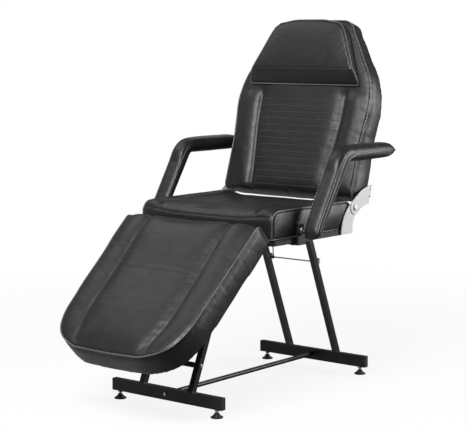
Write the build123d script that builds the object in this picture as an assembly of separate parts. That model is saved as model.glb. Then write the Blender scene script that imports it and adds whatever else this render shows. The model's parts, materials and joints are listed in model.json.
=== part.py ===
from build123d import *
from math import atan, cos, degrees, radians, sin, tan
import os

# Facial treatment bed with a reclining back, a lifting leg rest, padded arms and a steel trestle base.
# Millimetres, +Z up, +Y towards the head end, X = 0 on the plane of symmetry.
# Lengths along Y below are counted from the front face of the front floor beam; every finished
# piece is moved back by ORIGIN_Y, so that the origin is on the floor under the middle of the bed.
ORIGIN_Y = 300.0

# Floor beams, 40 x 20 rectangular tube
BEAM_LENGTH = 471
BEAM_HEIGHT = 40
BEAM_DEPTH = 20
TUBE_WALL = 1.5
BEAM_BOTTOM = 27
BEAM_TOP = BEAM_BOTTOM + BEAM_HEIGHT
BEAM_MIDDLE = BEAM_BOTTOM + BEAM_HEIGHT / 2
FRONT_BEAM_Y = 10
REAR_BEAM_Y = 813
CAP_THICKNESS = 2.5
CAP_ROUNDING = 1.2
CAP_PLUG = 12
PLUG_GAP = 0.2

# Levelling feet
FOOT_X = 208
FOOT_PAD_RADIUS = 20
FOOT_PAD_EDGE = 4
FOOT_CONE_RADIUS = 16
FOOT_CONE_TOP = 13
FOOT_COLLAR_RADIUS = 7.5
FOOT_COLLAR_TOP = 16
FOOT_SOCKET_FLOOR = 6
FOOT_STUD_RADIUS = 4
FOOT_STUD_TOP = 58
FOOT_STUD_GAP = 0.2
LOCK_NUT_HEIGHT = 6
LOCK_NUT_RADIUS = 8
RUNNING_CLEARANCE = 0.05

# Legs, 20 x 20 square tube, leaning towards each other
LEG_SIZE = 20
LEG_X = 104
FRONT_LEG_SLOPE = 0.43
REAR_LEG_SLOPE = -0.404
CROSSBAR_Z = 147
CROSSBAR_SIZE = 16
CROSSBAR_PLUG = 24
LEG_STOCK = 600

# Centre brace between the beams
BRACE_RADIUS = 8
BRACE_PLUG = 25
BRACE_BOLT_DEPTH = 22

# Fasteners: shank radii, and the gap round a shank in its hole
BOLT_RADIUS = 4
RAIL_BOLT_RADIUS = 3
SCREW_RADIUS = 2.5
HOLE_GAP = 0.1
HEX_HEAD_RADIUS = 5.5
HEX_HEAD_HEIGHT = 4
DOME_RADIUS = 6.5
DOME_HEIGHT = 4.5
PIN_HEAD_RADIUS = 7
SCREW_HEAD_RADIUS = 5
SCREW_HEAD_HEIGHT = 2.5

# Tie rod on the rear side of the rear legs
TIE_ROD_Z = 402
TIE_ROD_RADIUS = 2.5
TIE_ROD_END = 9
CLIP_THICKNESS = 12
CLIP_HALF_WIDTH = 8
CLIP_HALF_HEIGHT = 6
CLIP_CAP_HALF_WIDTH = 7
CLIP_CAP_LIP = 2
WIRE_RADIUS = 2
WIRE_LOW_X = -90
WIRE_HIGH_X = -48
WIRE_ENTRY = 5

# Seat frame, seat board and seat cushion
RAIL_BOTTOM = 509
RAIL_FRONT = 188
RAIL_REAR = 640
SEAT_BOARD_BOTTOM = RAIL_BOTTOM + LEG_SIZE
SEAT_BOARD_TOP = 547
SEAT_BOARD_FRONT = 206
SEAT_TOP = 643
SEAT_FRONT = 200
SEAT_REAR = 649
SEAT_CORNER = 40
SEAT_SIDE_ROUNDING = 8
SEAT_BOARD_CORNER = 18
HALF_WIDTH = 280
RAIL_BOLTS_Y = (260, 420, 580)
CROSS_MEMBERS_Y = (250, 630)

# Leg rest, drawn level with the seat and then turned down about its hinge
LEG_PIVOT = (196, 540)
LEG_DOWN_ANGLE = 42
LEG_BOARD_BOTTOM = 543
LEG_BOARD_TOP = 557
LEG_TOP = 632
LEG_REAR = 196
LEG_BOARD_REAR = 184
LEG_REAR_ROUNDING = 20
LEG_FOOT_Y = -368
LEG_WAIST_Y = -190
LEG_WAIST_HALF_WIDTH = 269
LEG_FOOT_INSET = 200
LEG_EYE_RADIUS = 7.5
LEG_SCREWS = ((138, 105), (138, 160))
LEG_ARM_FRONT = 85
LEG_ARM_WIDTH = 152
LEG_ARM_FLANGE = 3
LEG_LEAF_REAR = 250

# Backrest, drawn upright and then leaned back about the front of its lower edge
BACK_PIVOT = (650, 618)
BACK_DATUM = (645, 665)
BACK_LEAN = 17.5
BACK_BOTTOM = -12
BACK_TOP = 617
BACK_THICKNESS = 100
BACK_TAPER = 4.0
BACK_BOARD = 12
BACK_LOWER_HALF_WIDTH = 279
BACK_SHOULDER = (286, 350)
BACK_NECK = (257, 434)
BACK_TEMPLE = (168, 578)
BACK_CROWN = (150, 605)
BACK_TOP_HALF_WIDTH = 118
BACK_STRAIGHT_TOP = 150
BACK_SCREWS = (14, 40)
BACK_PIN_RADIUS = 5
BACK_PIN_HEAD_RADIUS = 11
BACK_EYE_RADIUS = 24

# Head pillow, in the backrest's own upright frame
PILLOW_BOTTOM = 375
PILLOW_FOLD = 425
PILLOW_TOP = 605
PILLOW_DEPTH = 47
PILLOW_GAP = 1.5
PILLOW_LOWER_HALF_WIDTH = 229
PILLOW_UPPER_HALF_WIDTH = 140
PILLOW_LIP = 12
PILLOW_TOP_CHAMFER = 8
PILLOW_SHOULDER = 585
STRIP_HALF_LENGTH = 110
STRIP_WIDTH = 40
STRIP_HEIGHTS = (430, 520)

# Armrests
ARM_INNER = 305
ARM_OUTER = 370
ARM_TOP = 828
ARM_UNDER = 790
ARM_TIP = 806
ARM_FOOT = 541
ARM_TIP_TOP = 812
ARM_TIP_TAPER = 770
ARM_UNDER_TAPER = 750
ARM_FRONT_LINE = (372, 0.615)
ARM_REAR_LINE = (407, 0.663)
ARM_LINE_HEIGHT = 650
ARM_OUTER_BEND = 48
ARM_INNER_BEND = 14
ARM_FOOT_ROUNDING = 12
ARM_ROUND_START = 745
ARM_ROUND_LENGTH = 42
ARM_BRACKET = 6
ARM_BRACKET_Y = (318, 358)
ARM_BRACKET_BOLTS_X = (215, 260)
ARM_BRACKET_INNER_END = 130
ARM_BRACKET_CORNER = 15
ARM_BOLT_DEPTH = 19
SPACER_RADIUS = 15
SPACER_THICKNESS = 8
ARM_BOLT_AT = (338, 570)

# Backrest hinge plates on the outside of the cushions, leg rest hinge plates beside the rails
SEAT_LEAF_X = (286, 289)
BACK_LEAF_X = (289.5, 292.5)
LEG_LEAF_X = (114, 118)
LEG_ARM_X = (118.5, 122.5)

SIDES = {"left": 1, "right": -1}


def box(x, y, z):
    """A box from three (low, high) pairs."""
    size = Box(x[1] - x[0], y[1] - y[0], z[1] - z[0])
    return Pos((x[0] + x[1]) / 2, (y[0] + y[1]) / 2, (z[0] + z[1]) / 2) * size


def rod_x(radius, x, y, z):
    """A round bar along X between the pair x, at (y, z)."""
    return Pos((x[0] + x[1]) / 2, y, z) * Rot(0, 90, 0) * Cylinder(radius, x[1] - x[0])


def rod_y(radius, y, x, z):
    return Pos(x, (y[0] + y[1]) / 2, z) * Rot(90, 0, 0) * Cylinder(radius, y[1] - y[0])


def rod_z(radius, z, x, y):
    return Pos(x, y, (z[0] + z[1]) / 2) * Cylinder(radius, z[1] - z[0])


def plate_yz(outline, x):
    """A flat plate in the Y-Z plane, from a closed list of (y, z) points, between the pair x."""
    face = make_face(Polyline(*outline, close=True))
    return extrude(Plane.YZ.offset(x[0]) * face, amount=x[1] - x[0])


def disc_yz(centre, radius, x):
    return rod_x(radius, x, centre[0], centre[1])


def square_tube(width, height, length):
    """A tube along Z, open at both ends."""
    outer = Box(width, height, length)
    return outer - Box(width - 2 * TUBE_WALL, height - 2 * TUBE_WALL, length + 1)


def mirrored(shape):
    return mirror(shape, about=Plane.YZ)


def on_side(shape, sign):
    """A piece drawn on the +X side, or its mirror image on the other side."""
    return shape if sign > 0 else mirrored(shape)


def pair(shape):
    """The piece and its mirror image, as a group of separate solids."""
    return group([shape, mirrored(shape)])


def group(shapes):
    solids = [solid for shape in shapes for solid in shape.solids()]
    return Compound(children=solids)


def turn_yz(shape, centre, angle):
    """Turns a piece about an axis along X through the (y, z) centre."""
    at = Pos(0, centre[0], centre[1])
    return at * Rot(angle, 0, 0) * at.inverse() * shape


# ---------------------------------------------------------------- floor frame

def floor_beam(y):
    tube = Pos(0, y, BEAM_MIDDLE) * Rot(0, 90, 0) * square_tube(
        BEAM_HEIGHT, BEAM_DEPTH, BEAM_LENGTH - 2 * CAP_THICKNESS
    )
    for x in (-FOOT_X, FOOT_X):
        tube -= rod_z(FOOT_STUD_RADIUS + FOOT_STUD_GAP, (BEAM_BOTTOM - 1, BEAM_BOTTOM + 3), x, y)
    return tube - rod_y(BOLT_RADIUS + HOLE_GAP, (y - BEAM_DEPTH, y + BEAM_DEPTH), 0, BEAM_MIDDLE)


def beam_end_caps():
    caps = []
    plug_height = BEAM_HEIGHT - 2 * TUBE_WALL - PLUG_GAP
    plug_depth = BEAM_DEPTH - 2 * TUBE_WALL - PLUG_GAP
    end = BEAM_LENGTH / 2
    for y in (FRONT_BEAM_Y, REAR_BEAM_Y):
        cap = box(
            (end - CAP_THICKNESS, end),
            (y - BEAM_DEPTH / 2, y + BEAM_DEPTH / 2),
            (BEAM_BOTTOM, BEAM_TOP),
        )
        cap = fillet(cap.faces().sort_by(Axis.X)[-1].edges(), CAP_ROUNDING)
        plug_x = end - CAP_THICKNESS - CAP_PLUG / 2
        caps.append(cap + Pos(plug_x, y, BEAM_MIDDLE) * Box(CAP_PLUG, plug_depth, plug_height))
    return group(caps + [mirrored(cap) for cap in caps])


def centre_brace():
    span = (FRONT_BEAM_Y + BEAM_DEPTH / 2, REAR_BEAM_Y - BEAM_DEPTH / 2)
    outside = rod_y(BRACE_RADIUS, span, 0, BEAM_MIDDLE)
    tube = outside - rod_y(BRACE_RADIUS - TUBE_WALL, span, 0, BEAM_MIDDLE)
    plugs = []
    for low in (span[0], span[1] - BRACE_PLUG):
        high = low + BRACE_PLUG
        plug = rod_y(BRACE_RADIUS - TUBE_WALL, (low, high), 0, BEAM_MIDDLE)
        plugs.append(plug - rod_y(BOLT_RADIUS + HOLE_GAP, (low - 1, high + 1), 0, BEAM_MIDDLE))
    return tube, group(plugs)


def brace_bolts():
    """A domed bolt through each beam into the brace's threaded plug."""
    bolts = []
    for face, inward in ((FRONT_BEAM_Y - BEAM_DEPTH / 2, 1), (REAR_BEAM_Y + BEAM_DEPTH / 2, -1)):
        ends = sorted((face, face + inward * (BEAM_DEPTH + BRACE_BOLT_DEPTH)))
        shank = rod_y(BOLT_RADIUS, ends, 0, BEAM_MIDDLE)
        head_ends = sorted((face, face - inward * DOME_HEIGHT))
        head = rod_y(DOME_RADIUS, head_ends, 0, BEAM_MIDDLE)
        outer = head.faces().sort_by(Axis.Y)[0 if inward > 0 else -1]
        bolts.append(shank + fillet(outer.edges(), DOME_HEIGHT - 1))
    return group(bolts)


def levelling_foot(x, y):
    """Pad with a conical shoulder, and the threaded stud that stands in it."""
    pad = rod_z(FOOT_PAD_RADIUS, (0, FOOT_PAD_EDGE), x, y)
    pad = fillet(pad.faces().sort_by(Axis.Z)[-1].edges(), 1.5)
    cone_height = FOOT_CONE_TOP - FOOT_PAD_EDGE
    cone = Cone(FOOT_CONE_RADIUS, FOOT_COLLAR_RADIUS + 1, cone_height)
    pad += Pos(x, y, FOOT_PAD_EDGE + cone_height / 2) * cone
    pad += rod_z(FOOT_COLLAR_RADIUS, (FOOT_CONE_TOP, FOOT_COLLAR_TOP), x, y)
    pad -= rod_z(FOOT_STUD_RADIUS, (FOOT_SOCKET_FLOOR, FOOT_COLLAR_TOP + 1), x, y)
    stud = rod_z(FOOT_STUD_RADIUS, (FOOT_SOCKET_FLOOR, FOOT_STUD_TOP), x, y)
    return pad, stud


def lock_nuts():
    nuts = []
    for x in (-FOOT_X, FOOT_X):
        for y in (FRONT_BEAM_Y, REAR_BEAM_Y):
            nut = extrude(RegularPolygon(LOCK_NUT_RADIUS, 6), amount=LOCK_NUT_HEIGHT)
            nut = Pos(x, y, BEAM_BOTTOM - LOCK_NUT_HEIGHT) * nut
            bore = rod_z(FOOT_STUD_RADIUS + RUNNING_CLEARANCE, (BEAM_BOTTOM - 10, BEAM_BOTTOM + 1), x, y)
            nuts.append(nut - bore)
    return group(nuts)


# ---------------------------------------------------------------- legs

def leg_y(z, beam_y, slope):
    """Where a leg's centre line stands along Y at height z."""
    return beam_y + slope * (z - BEAM_TOP)


def leg(x, beam_y, slope):
    """A leg from the top of its beam to the underside of the seat rail, cut level at both ends."""
    middle = (BEAM_TOP + RAIL_BOTTOM) / 2
    at = Pos(x, leg_y(middle, beam_y, slope), middle) * Rot(-degrees(atan(slope)), 0, 0)
    tube = at * square_tube(LEG_SIZE, LEG_SIZE, LEG_STOCK)
    across, along = (x - LEG_SIZE, x + LEG_SIZE), (beam_y - LEG_STOCK, beam_y + LEG_STOCK)
    trimmed = tube & box(across, along, (BEAM_TOP, RAIL_BOTTOM))
    if slope > 0:
        y = leg_y(CROSSBAR_Z, beam_y, slope)
        trimmed -= rod_x(BOLT_RADIUS + HOLE_GAP, across, y, CROSSBAR_Z)
    return trimmed


def front_crossbar():
    """Square tube between the front legs, with a threaded plug at each end, and its two bolts."""
    y = leg_y(CROSSBAR_Z, FRONT_BEAM_Y, FRONT_LEG_SLOPE)
    inner_face = LEG_X - LEG_SIZE / 2
    tilt = Rot(-degrees(atan(FRONT_LEG_SLOPE)), 0, 0)
    bar = Rot(0, 90, 0) * square_tube(CROSSBAR_SIZE, CROSSBAR_SIZE, 2 * inner_face)
    plug_size = CROSSBAR_SIZE - 2 * TUBE_WALL
    plug = Pos(inner_face - CROSSBAR_PLUG / 2, 0, 0) * Box(CROSSBAR_PLUG, plug_size, plug_size)
    bar = bar + plug + mirrored(plug)
    outer_face = LEG_X + LEG_SIZE / 2
    bolt_ends = (inner_face - CROSSBAR_PLUG + 4, outer_face)
    hole = rod_x(BOLT_RADIUS + HOLE_GAP, bolt_ends, 0, 0)
    bar = bar - hole - mirrored(hole)
    bolt = rod_x(BOLT_RADIUS, bolt_ends, 0, 0)
    head = rod_x(DOME_RADIUS, (outer_face, outer_face + DOME_HEIGHT), 0, 0)
    bolt += fillet(head.faces().sort_by(Axis.X)[-1].edges(), DOME_HEIGHT - 1.5)
    at = Pos(0, y, CROSSBAR_Z) * tilt
    return at * bar, pair(at * bolt)


def tie_rod_parts():
    """Thin rod behind the rear legs, the clip and the cap at each leg, and the wire stay."""
    lean = atan(-REAR_LEG_SLOPE)
    y = leg_y(TIE_ROD_Z, REAR_BEAM_Y, REAR_LEG_SLOPE)
    at = Pos(0, y, TIE_ROD_Z) * Rot(degrees(lean), 0, 0)
    out = LEG_SIZE / 2 + CLIP_THICKNESS / 2
    clip_y = (LEG_SIZE / 2, LEG_SIZE / 2 + CLIP_THICKNESS)
    rod_end = LEG_X + TIE_ROD_END
    rod = rod_x(TIE_ROD_RADIUS, (-rod_end, rod_end), out, 0)
    clip_x = (LEG_X - CLIP_HALF_WIDTH, LEG_X + CLIP_HALF_WIDTH)
    clip = box(clip_x, clip_y, (-CLIP_HALF_HEIGHT, CLIP_HALF_HEIGHT))
    clip = clip - rod_x(TIE_ROD_RADIUS + HOLE_GAP, (LEG_X - TIE_ROD_END, rod_end), out, 0)
    cap_x = (LEG_X - CLIP_CAP_HALF_WIDTH, LEG_X + CLIP_CAP_HALF_WIDTH)
    cap = box(cap_x, (clip_y[0], clip_y[1] + CLIP_CAP_LIP), (CLIP_HALF_HEIGHT, 2 * CLIP_HALF_HEIGHT))
    cap = fillet(cap.edges().filter_by(Axis.X), 1.5)
    return at * rod, pair(at * clip), pair(at * cap)


def wire_stay():
    """A straight wire from the seat frame's rear cross member to a ring round the tie rod's end."""
    lean = atan(-REAR_LEG_SLOPE)
    out = LEG_SIZE / 2 + CLIP_THICKNESS / 2
    ring_radius = TIE_ROD_RADIUS + WIRE_RADIUS + HOLE_GAP
    rod_y_at = leg_y(TIE_ROD_Z, REAR_BEAM_Y, REAR_LEG_SLOPE) + out * cos(lean)
    rod_z_at = TIE_ROD_Z + out * sin(lean)
    ring = Pos(WIRE_LOW_X, rod_y_at, rod_z_at) * Rot(0, 90, 0) * Torus(ring_radius, WIRE_RADIUS)
    low = Vector(WIRE_LOW_X, rod_y_at, rod_z_at + ring_radius)
    high = Vector(WIRE_HIGH_X, CROSS_MEMBERS_Y[1], RAIL_BOTTOM + WIRE_ENTRY)
    reach = high - low
    wire = Plane(low, z_dir=reach) * Pos(0, 0, reach.length / 2) * Cylinder(WIRE_RADIUS, reach.length)
    below_frame = box((-HALF_WIDTH, HALF_WIDTH), (0, REAR_BEAM_Y), (0, RAIL_BOTTOM))
    return (ring + wire) & below_frame


# ---------------------------------------------------------------- seat

def seat_rail():
    length = RAIL_REAR - RAIL_FRONT
    at = Pos(LEG_X, RAIL_FRONT + length / 2, RAIL_BOTTOM + LEG_SIZE / 2) * Rot(90, 0, 0)
    tube = at * square_tube(LEG_SIZE, LEG_SIZE, length)
    for y in RAIL_BOLTS_Y:
        tube -= rod_z(RAIL_BOLT_RADIUS + HOLE_GAP, (RAIL_BOTTOM - 1, SEAT_BOARD_BOTTOM + 1), LEG_X, y)
    return tube


def cross_member(y):
    inner = LEG_X - LEG_SIZE / 2
    at = Pos(0, y, RAIL_BOTTOM + LEG_SIZE / 2) * Rot(0, 90, 0)
    return at * square_tube(LEG_SIZE, LEG_SIZE, 2 * inner)


def hex_bolt(x, y, under):
    """A bolt up into the seat board, its hexagonal head below the surface at height under."""
    shank = rod_z(RAIL_BOLT_RADIUS, (under, SEAT_BOARD_TOP - 4.5), x, y)
    head = extrude(RegularPolygon(HEX_HEAD_RADIUS, 6), amount=HEX_HEAD_HEIGHT)
    return shank + Pos(x, y, under - HEX_HEAD_HEIGHT) * head


def rail_bolts():
    bolts = []
    for y in RAIL_BOLTS_Y:
        bolts.append(hex_bolt(LEG_X, y, RAIL_BOTTOM))
    return group(bolts + [mirrored(bolt) for bolt in bolts])


def seat_board():
    board = box(
        (-HALF_WIDTH, HALF_WIDTH), (SEAT_BOARD_FRONT, SEAT_REAR - 2), (SEAT_BOARD_BOTTOM, SEAT_BOARD_TOP)
    )
    board = fillet(board.edges().filter_by(Axis.Z), SEAT_BOARD_CORNER)
    holes = [(LEG_X, y) for y in RAIL_BOLTS_Y]
    holes += [(x, sum(ARM_BRACKET_Y) / 2) for x in ARM_BRACKET_BOLTS_X]
    for x, y in holes:
        for sign in (1, -1):
            board -= rod_z(RAIL_BOLT_RADIUS + HOLE_GAP, (SEAT_BOARD_BOTTOM, SEAT_BOARD_TOP - 4), sign * x, y)
    return board


def seat_cushion():
    profile = box((-HALF_WIDTH, HALF_WIDTH), (SEAT_FRONT, SEAT_REAR), (SEAT_BOARD_TOP, SEAT_TOP))
    across = profile.edges().filter_by(Axis.X).group_by(Axis.Z)[-1]
    cushion = fillet(across, SEAT_CORNER)
    sides = cushion.faces().filter_by(Axis.X)
    return fillet(sides.edges().group_by(Axis.Z)[-1], SEAT_SIDE_ROUNDING)


# ---------------------------------------------------------------- armrests

def arm_line(line, z):
    """Where the front or the rear face of the leaning post stands along Y at height z."""
    return line[0] + line[1] * (z - ARM_LINE_HEIGHT)


def arm_pad():
    """A leaning post that turns into a level pad with a rounded, tapering rear end."""
    outer_bend = (arm_line(ARM_FRONT_LINE, ARM_TOP), ARM_TOP)
    inner_bend = (arm_line(ARM_REAR_LINE, ARM_UNDER), ARM_UNDER)
    post_foot = [(arm_line(line, ARM_FOOT), ARM_FOOT) for line in (ARM_REAR_LINE, ARM_FRONT_LINE)]
    tip = [(ARM_TIP_TAPER, ARM_TOP), (ARM_TIP, ARM_TIP_TOP), (ARM_TIP, ARM_TIP_TOP - 6)]
    tip += [(ARM_UNDER_TAPER, ARM_UNDER)]
    arm = plate_yz(post_foot + [outer_bend] + tip + [inner_bend], (ARM_INNER, ARM_OUTER))
    for corner, radius in ((outer_bend, ARM_OUTER_BEND), (inner_bend, ARM_INNER_BEND)):
        across = arm.edges().filter_by(Axis.X)
        arm = fillet(across.sort_by_distance(Vector(ARM_INNER, *corner))[0], radius)
    arm = fillet(arm.edges().filter_by(Axis.X).group_by(Axis.Z)[0], ARM_FOOT_ROUNDING)
    height = (ARM_UNDER - 10, ARM_TOP + 10)
    plan = Pos(0, 0, height[0]) * extrude(make_face(arm_plan()), amount=height[1] - height[0])
    rear = box((ARM_INNER - 5, ARM_OUTER + 5), (ARM_ROUND_START - 45, ARM_TIP + 5), height)
    arm -= rear - plan
    bolt_hole = (ARM_INNER - 1, ARM_INNER + ARM_BOLT_DEPTH + 1)
    return arm - rod_x(BOLT_RADIUS + HOLE_GAP, bolt_hole, *ARM_BOLT_AT)


def arm_plan():
    """Outline of the pad's rounded rear end, seen from above."""
    middle = (ARM_INNER + ARM_OUTER) / 2
    start, tip = ARM_ROUND_START, ARM_TIP + 0.5
    round_y, square_y = start + ARM_ROUND_LENGTH, start - 55
    inner = ThreePointArc((ARM_INNER, start), (ARM_INNER + 10, round_y), (middle, tip))
    outer = ThreePointArc((middle, tip), (ARM_OUTER - 10, round_y), (ARM_OUTER, start))
    square = Polyline((ARM_OUTER, start), (ARM_OUTER, square_y), (ARM_INNER, square_y), (ARM_INNER, start))
    return inner + outer + square


def arm_bracket():
    """Flat steel under the seat board that turns up beside the arm."""
    tab_x = (ARM_INNER - SPACER_THICKNESS - ARM_BRACKET, ARM_INNER - SPACER_THICKNESS)
    under = SEAT_BOARD_BOTTOM - ARM_BRACKET
    flat = box((ARM_BRACKET_INNER_END, tab_x[1]), ARM_BRACKET_Y, (under, SEAT_BOARD_BOTTOM))
    tab = box(tab_x, ARM_BRACKET_Y, (under, ARM_BOLT_AT[1] + 20))
    corners = tab.edges().filter_by(Axis.X).group_by(Axis.Z)[-1]
    tab = fillet(corners, ARM_BRACKET_CORNER)
    bracket = flat + tab
    bracket -= rod_x(BOLT_RADIUS + HOLE_GAP, (tab_x[0] - 1, tab_x[1] + 1), *ARM_BOLT_AT)
    for x in ARM_BRACKET_BOLTS_X:
        y = sum(ARM_BRACKET_Y) / 2
        bracket -= rod_z(RAIL_BOLT_RADIUS + HOLE_GAP, (SEAT_BOARD_BOTTOM - 10, SEAT_BOARD_BOTTOM + 1), x, y)
    return bracket


def arm_bracket_bolts():
    y = sum(ARM_BRACKET_Y) / 2
    under = SEAT_BOARD_BOTTOM - ARM_BRACKET
    bolts = [hex_bolt(x, y, under) for x in ARM_BRACKET_BOLTS_X]
    return group(bolts + [mirrored(bolt) for bolt in bolts])


def arm_spacers():
    ends = (ARM_INNER - SPACER_THICKNESS, ARM_INNER)
    disc = disc_yz(ARM_BOLT_AT, SPACER_RADIUS, ends)
    disc = fillet(disc.edges(), 1.5)
    return pair(disc - rod_x(BOLT_RADIUS + HOLE_GAP, (ends[0] - 1, ends[1] + 1), *ARM_BOLT_AT))


def arm_bolts():
    under_head = ARM_INNER - SPACER_THICKNESS - ARM_BRACKET
    shank = rod_x(BOLT_RADIUS, (under_head, ARM_INNER + ARM_BOLT_DEPTH), *ARM_BOLT_AT)
    head = rod_x(PIN_HEAD_RADIUS, (under_head - HEX_HEAD_HEIGHT, under_head), *ARM_BOLT_AT)
    return pair(shank + head)


# ---------------------------------------------------------------- leg rest

def lower_leg_rest(shape):
    return turn_yz(shape, LEG_PIVOT, LEG_DOWN_ANGLE)


def leg_rest_outline(inset):
    """Plan of the leg rest, level: sides that draw in a little towards a broad rounded foot end."""
    rear, waist = HALF_WIDTH - inset, LEG_WAIST_HALF_WIDTH - inset
    foot = LEG_FOOT_Y + inset
    taper = (waist - rear, LEG_WAIST_Y - LEG_REAR)
    side = Line((rear, LEG_REAR), (waist, LEG_WAIST_Y))
    corner = Spline(
        (waist, LEG_WAIST_Y),
        (waist - 12, LEG_WAIST_Y - 75),
        (waist - 48, foot + 43),
        (waist - 109, foot + 10),
        (waist - LEG_FOOT_INSET, foot),
        tangents=[taper, (-1, 0)],
    )
    foot_half = waist - LEG_FOOT_INSET
    outline = Line((-rear, LEG_REAR), (rear, LEG_REAR)) + Line((foot_half, foot), (-foot_half, foot))
    for edge in (side, corner):
        outline += [edge, mirror(edge, about=Plane.YZ)]
    return outline


def leg_rest_cushion():
    plan = make_face(leg_rest_outline(0))
    body = Pos(0, 0, LEG_BOARD_TOP) * extrude(plan, amount=LEG_TOP - LEG_BOARD_TOP)
    upper_rear = body.edges().filter_by(Axis.X).group_by(Axis.Z)[-1].sort_by(Axis.Y)[-1]
    body = fillet(upper_rear, LEG_REAR_ROUNDING)
    return lower_leg_rest(body)


def leg_rest_board():
    body = Pos(0, 0, LEG_BOARD_BOTTOM) * extrude(
        make_face(leg_rest_outline(3)), amount=LEG_BOARD_TOP - LEG_BOARD_BOTTOM
    )
    height = (LEG_BOARD_BOTTOM, LEG_BOARD_TOP)
    body &= box((-HALF_WIDTH, HALF_WIDTH), (LEG_FOOT_Y, LEG_BOARD_REAR), height)
    for x, y in LEG_SCREWS:
        for sign in (1, -1):
            body -= rod_z(SCREW_RADIUS + HOLE_GAP, (LEG_BOARD_BOTTOM - 1, LEG_BOARD_TOP - 2), sign * x, y)
    return lower_leg_rest(body)


def leg_hinge_leaf():
    """Plate on the outside of the seat rail that carries the leg rest's pivot."""
    y, z = LEG_PIVOT
    eye = LEG_EYE_RADIUS
    low, high = RAIL_BOTTOM + 2, SEAT_BOARD_BOTTOM - 2
    front = [(y - eye, z), (y - eye, low + 4), (y - eye + 4, low)]
    outline = front + [(LEG_LEAF_REAR, low), (LEG_LEAF_REAR, high), (y + eye, high), (y + eye, z)]
    plate = plate_yz(outline, LEG_LEAF_X) + disc_yz(LEG_PIVOT, eye, LEG_LEAF_X)
    return plate - rod_x(BOLT_RADIUS, (LEG_LEAF_X[0] - 1, LEG_LEAF_X[1] + 1), y, z)


def leg_hinge_arm():
    """Angle under the leg rest's board with an eye for the pivot."""
    y, z = LEG_PIVOT
    eye = LEG_EYE_RADIUS
    under = LEG_BOARD_BOTTOM
    front = [(LEG_ARM_FRONT, under), (LEG_ARM_FRONT, under - 10)]
    outline = front + [(y, z - eye), (y, z + eye), (LEG_BOARD_REAR + 1, under)]
    arm = plate_yz(outline, LEG_ARM_X) + disc_yz(LEG_PIVOT, eye, LEG_ARM_X)
    flange_y = (LEG_ARM_FRONT, LEG_BOARD_REAR - 4)
    arm += box((LEG_ARM_X[0], LEG_ARM_WIDTH), flange_y, (under - LEG_ARM_FLANGE, under))
    arm -= rod_x(BOLT_RADIUS + RUNNING_CLEARANCE, (LEG_ARM_X[0] - 1, LEG_ARM_X[1] + 1), y, z)
    for x, screw_y in LEG_SCREWS:
        arm -= rod_z(SCREW_RADIUS + HOLE_GAP, (under - 5, under + 1), x, screw_y)
    return lower_leg_rest(arm)


def leg_hinge_pins():
    pin = rod_x(BOLT_RADIUS, (LEG_LEAF_X[0] - 2, LEG_ARM_X[1] + 4), *LEG_PIVOT)
    head = rod_x(PIN_HEAD_RADIUS, (LEG_ARM_X[1] + 0.3, LEG_ARM_X[1] + 4), *LEG_PIVOT)
    return pair(pin + head)


def leg_hinge_screws():
    screws = []
    flange = LEG_BOARD_BOTTOM - LEG_ARM_FLANGE
    for x, y in LEG_SCREWS:
        shank = rod_z(SCREW_RADIUS, (flange, LEG_BOARD_TOP - 2.5), x, y)
        head = rod_z(SCREW_HEAD_RADIUS, (flange - SCREW_HEAD_HEIGHT, flange), x, y)
        screws.append(lower_leg_rest(shank + head))
    return group(screws + [mirrored(screw) for screw in screws])


# ---------------------------------------------------------------- backrest

def lean_back(shape):
    """Places a piece drawn upright (Z up the back, Y through its thickness) at the backrest's lean."""
    return Pos(0, BACK_DATUM[0], BACK_DATUM[1]) * Rot(-BACK_LEAN, 0, 0) * shape


def back_depth(height):
    """Thickness of the backrest, cushion and board together, at a height up it."""
    return BACK_THICKNESS - height * tan(radians(BACK_TAPER))


def back_outline():
    """Front view: sides that widen a little up to the shoulders, then taper to a narrow head end."""
    side = BACK_LOWER_HALF_WIDTH
    half = [
        Line((side, BACK_BOTTOM), (side, BACK_STRAIGHT_TOP)),
        Spline((side, BACK_STRAIGHT_TOP), BACK_SHOULDER, BACK_NECK, tangents=[(0, 1), (-0.5, 0.86)]),
        Line(BACK_NECK, BACK_TEMPLE),
        ThreePointArc(BACK_TEMPLE, BACK_CROWN, (BACK_TOP_HALF_WIDTH, BACK_TOP)),
    ]
    outline = Line((BACK_TOP_HALF_WIDTH, BACK_TOP), (-BACK_TOP_HALF_WIDTH, BACK_TOP))
    outline += Line((-side, BACK_BOTTOM), (side, BACK_BOTTOM))
    for edge in half:
        outline += [edge, mirror(edge, about=Plane.YZ)]
    return outline


def back_slab(depth_low, depth_high):
    """The backrest's outline between two layers counted from its rear face (0) forwards."""
    solid = extrude(Plane.XZ * make_face(back_outline()), amount=-BACK_THICKNESS - 20)
    heights = (BACK_BOTTOM - 5, BACK_TOP + 5)
    rear = [(back_depth(z) - depth_low, z) for z in heights]
    front = [(back_depth(z) - depth_high, z) for z in reversed(heights)]
    if depth_high > BACK_BOARD:
        front = [(0, z) for z in reversed(heights)]
    return solid & plate_yz(rear + front, (-ARM_INNER, ARM_INNER))


def back_cushion():
    return lean_back(back_slab(BACK_BOARD, 2 * BACK_THICKNESS))


def back_board():
    board = back_slab(0, BACK_BOARD)
    for height in BACK_SCREWS:
        depth = back_depth(height) - BACK_BOARD / 2
        side = BACK_LOWER_HALF_WIDTH
        hole = rod_x(SCREW_RADIUS + HOLE_GAP, (side - 20, side + 1), depth, height)
        board = board - hole - mirrored(hole)
    return lean_back(board)


def curved_leaf(first, second, x):
    """A plate in the Y-Z plane between two arcs, each three (y, z) points, with the backrest's eye."""
    outline = ThreePointArc(*first) + Line(first[-1], second[0])
    outline += ThreePointArc(*second) + Line(second[-1], first[0])
    plate = extrude(Plane.YZ.offset(x[0]) * make_face(outline), amount=x[1] - x[0])
    return plate + disc_yz(BACK_PIVOT, BACK_EYE_RADIUS, x)


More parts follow.
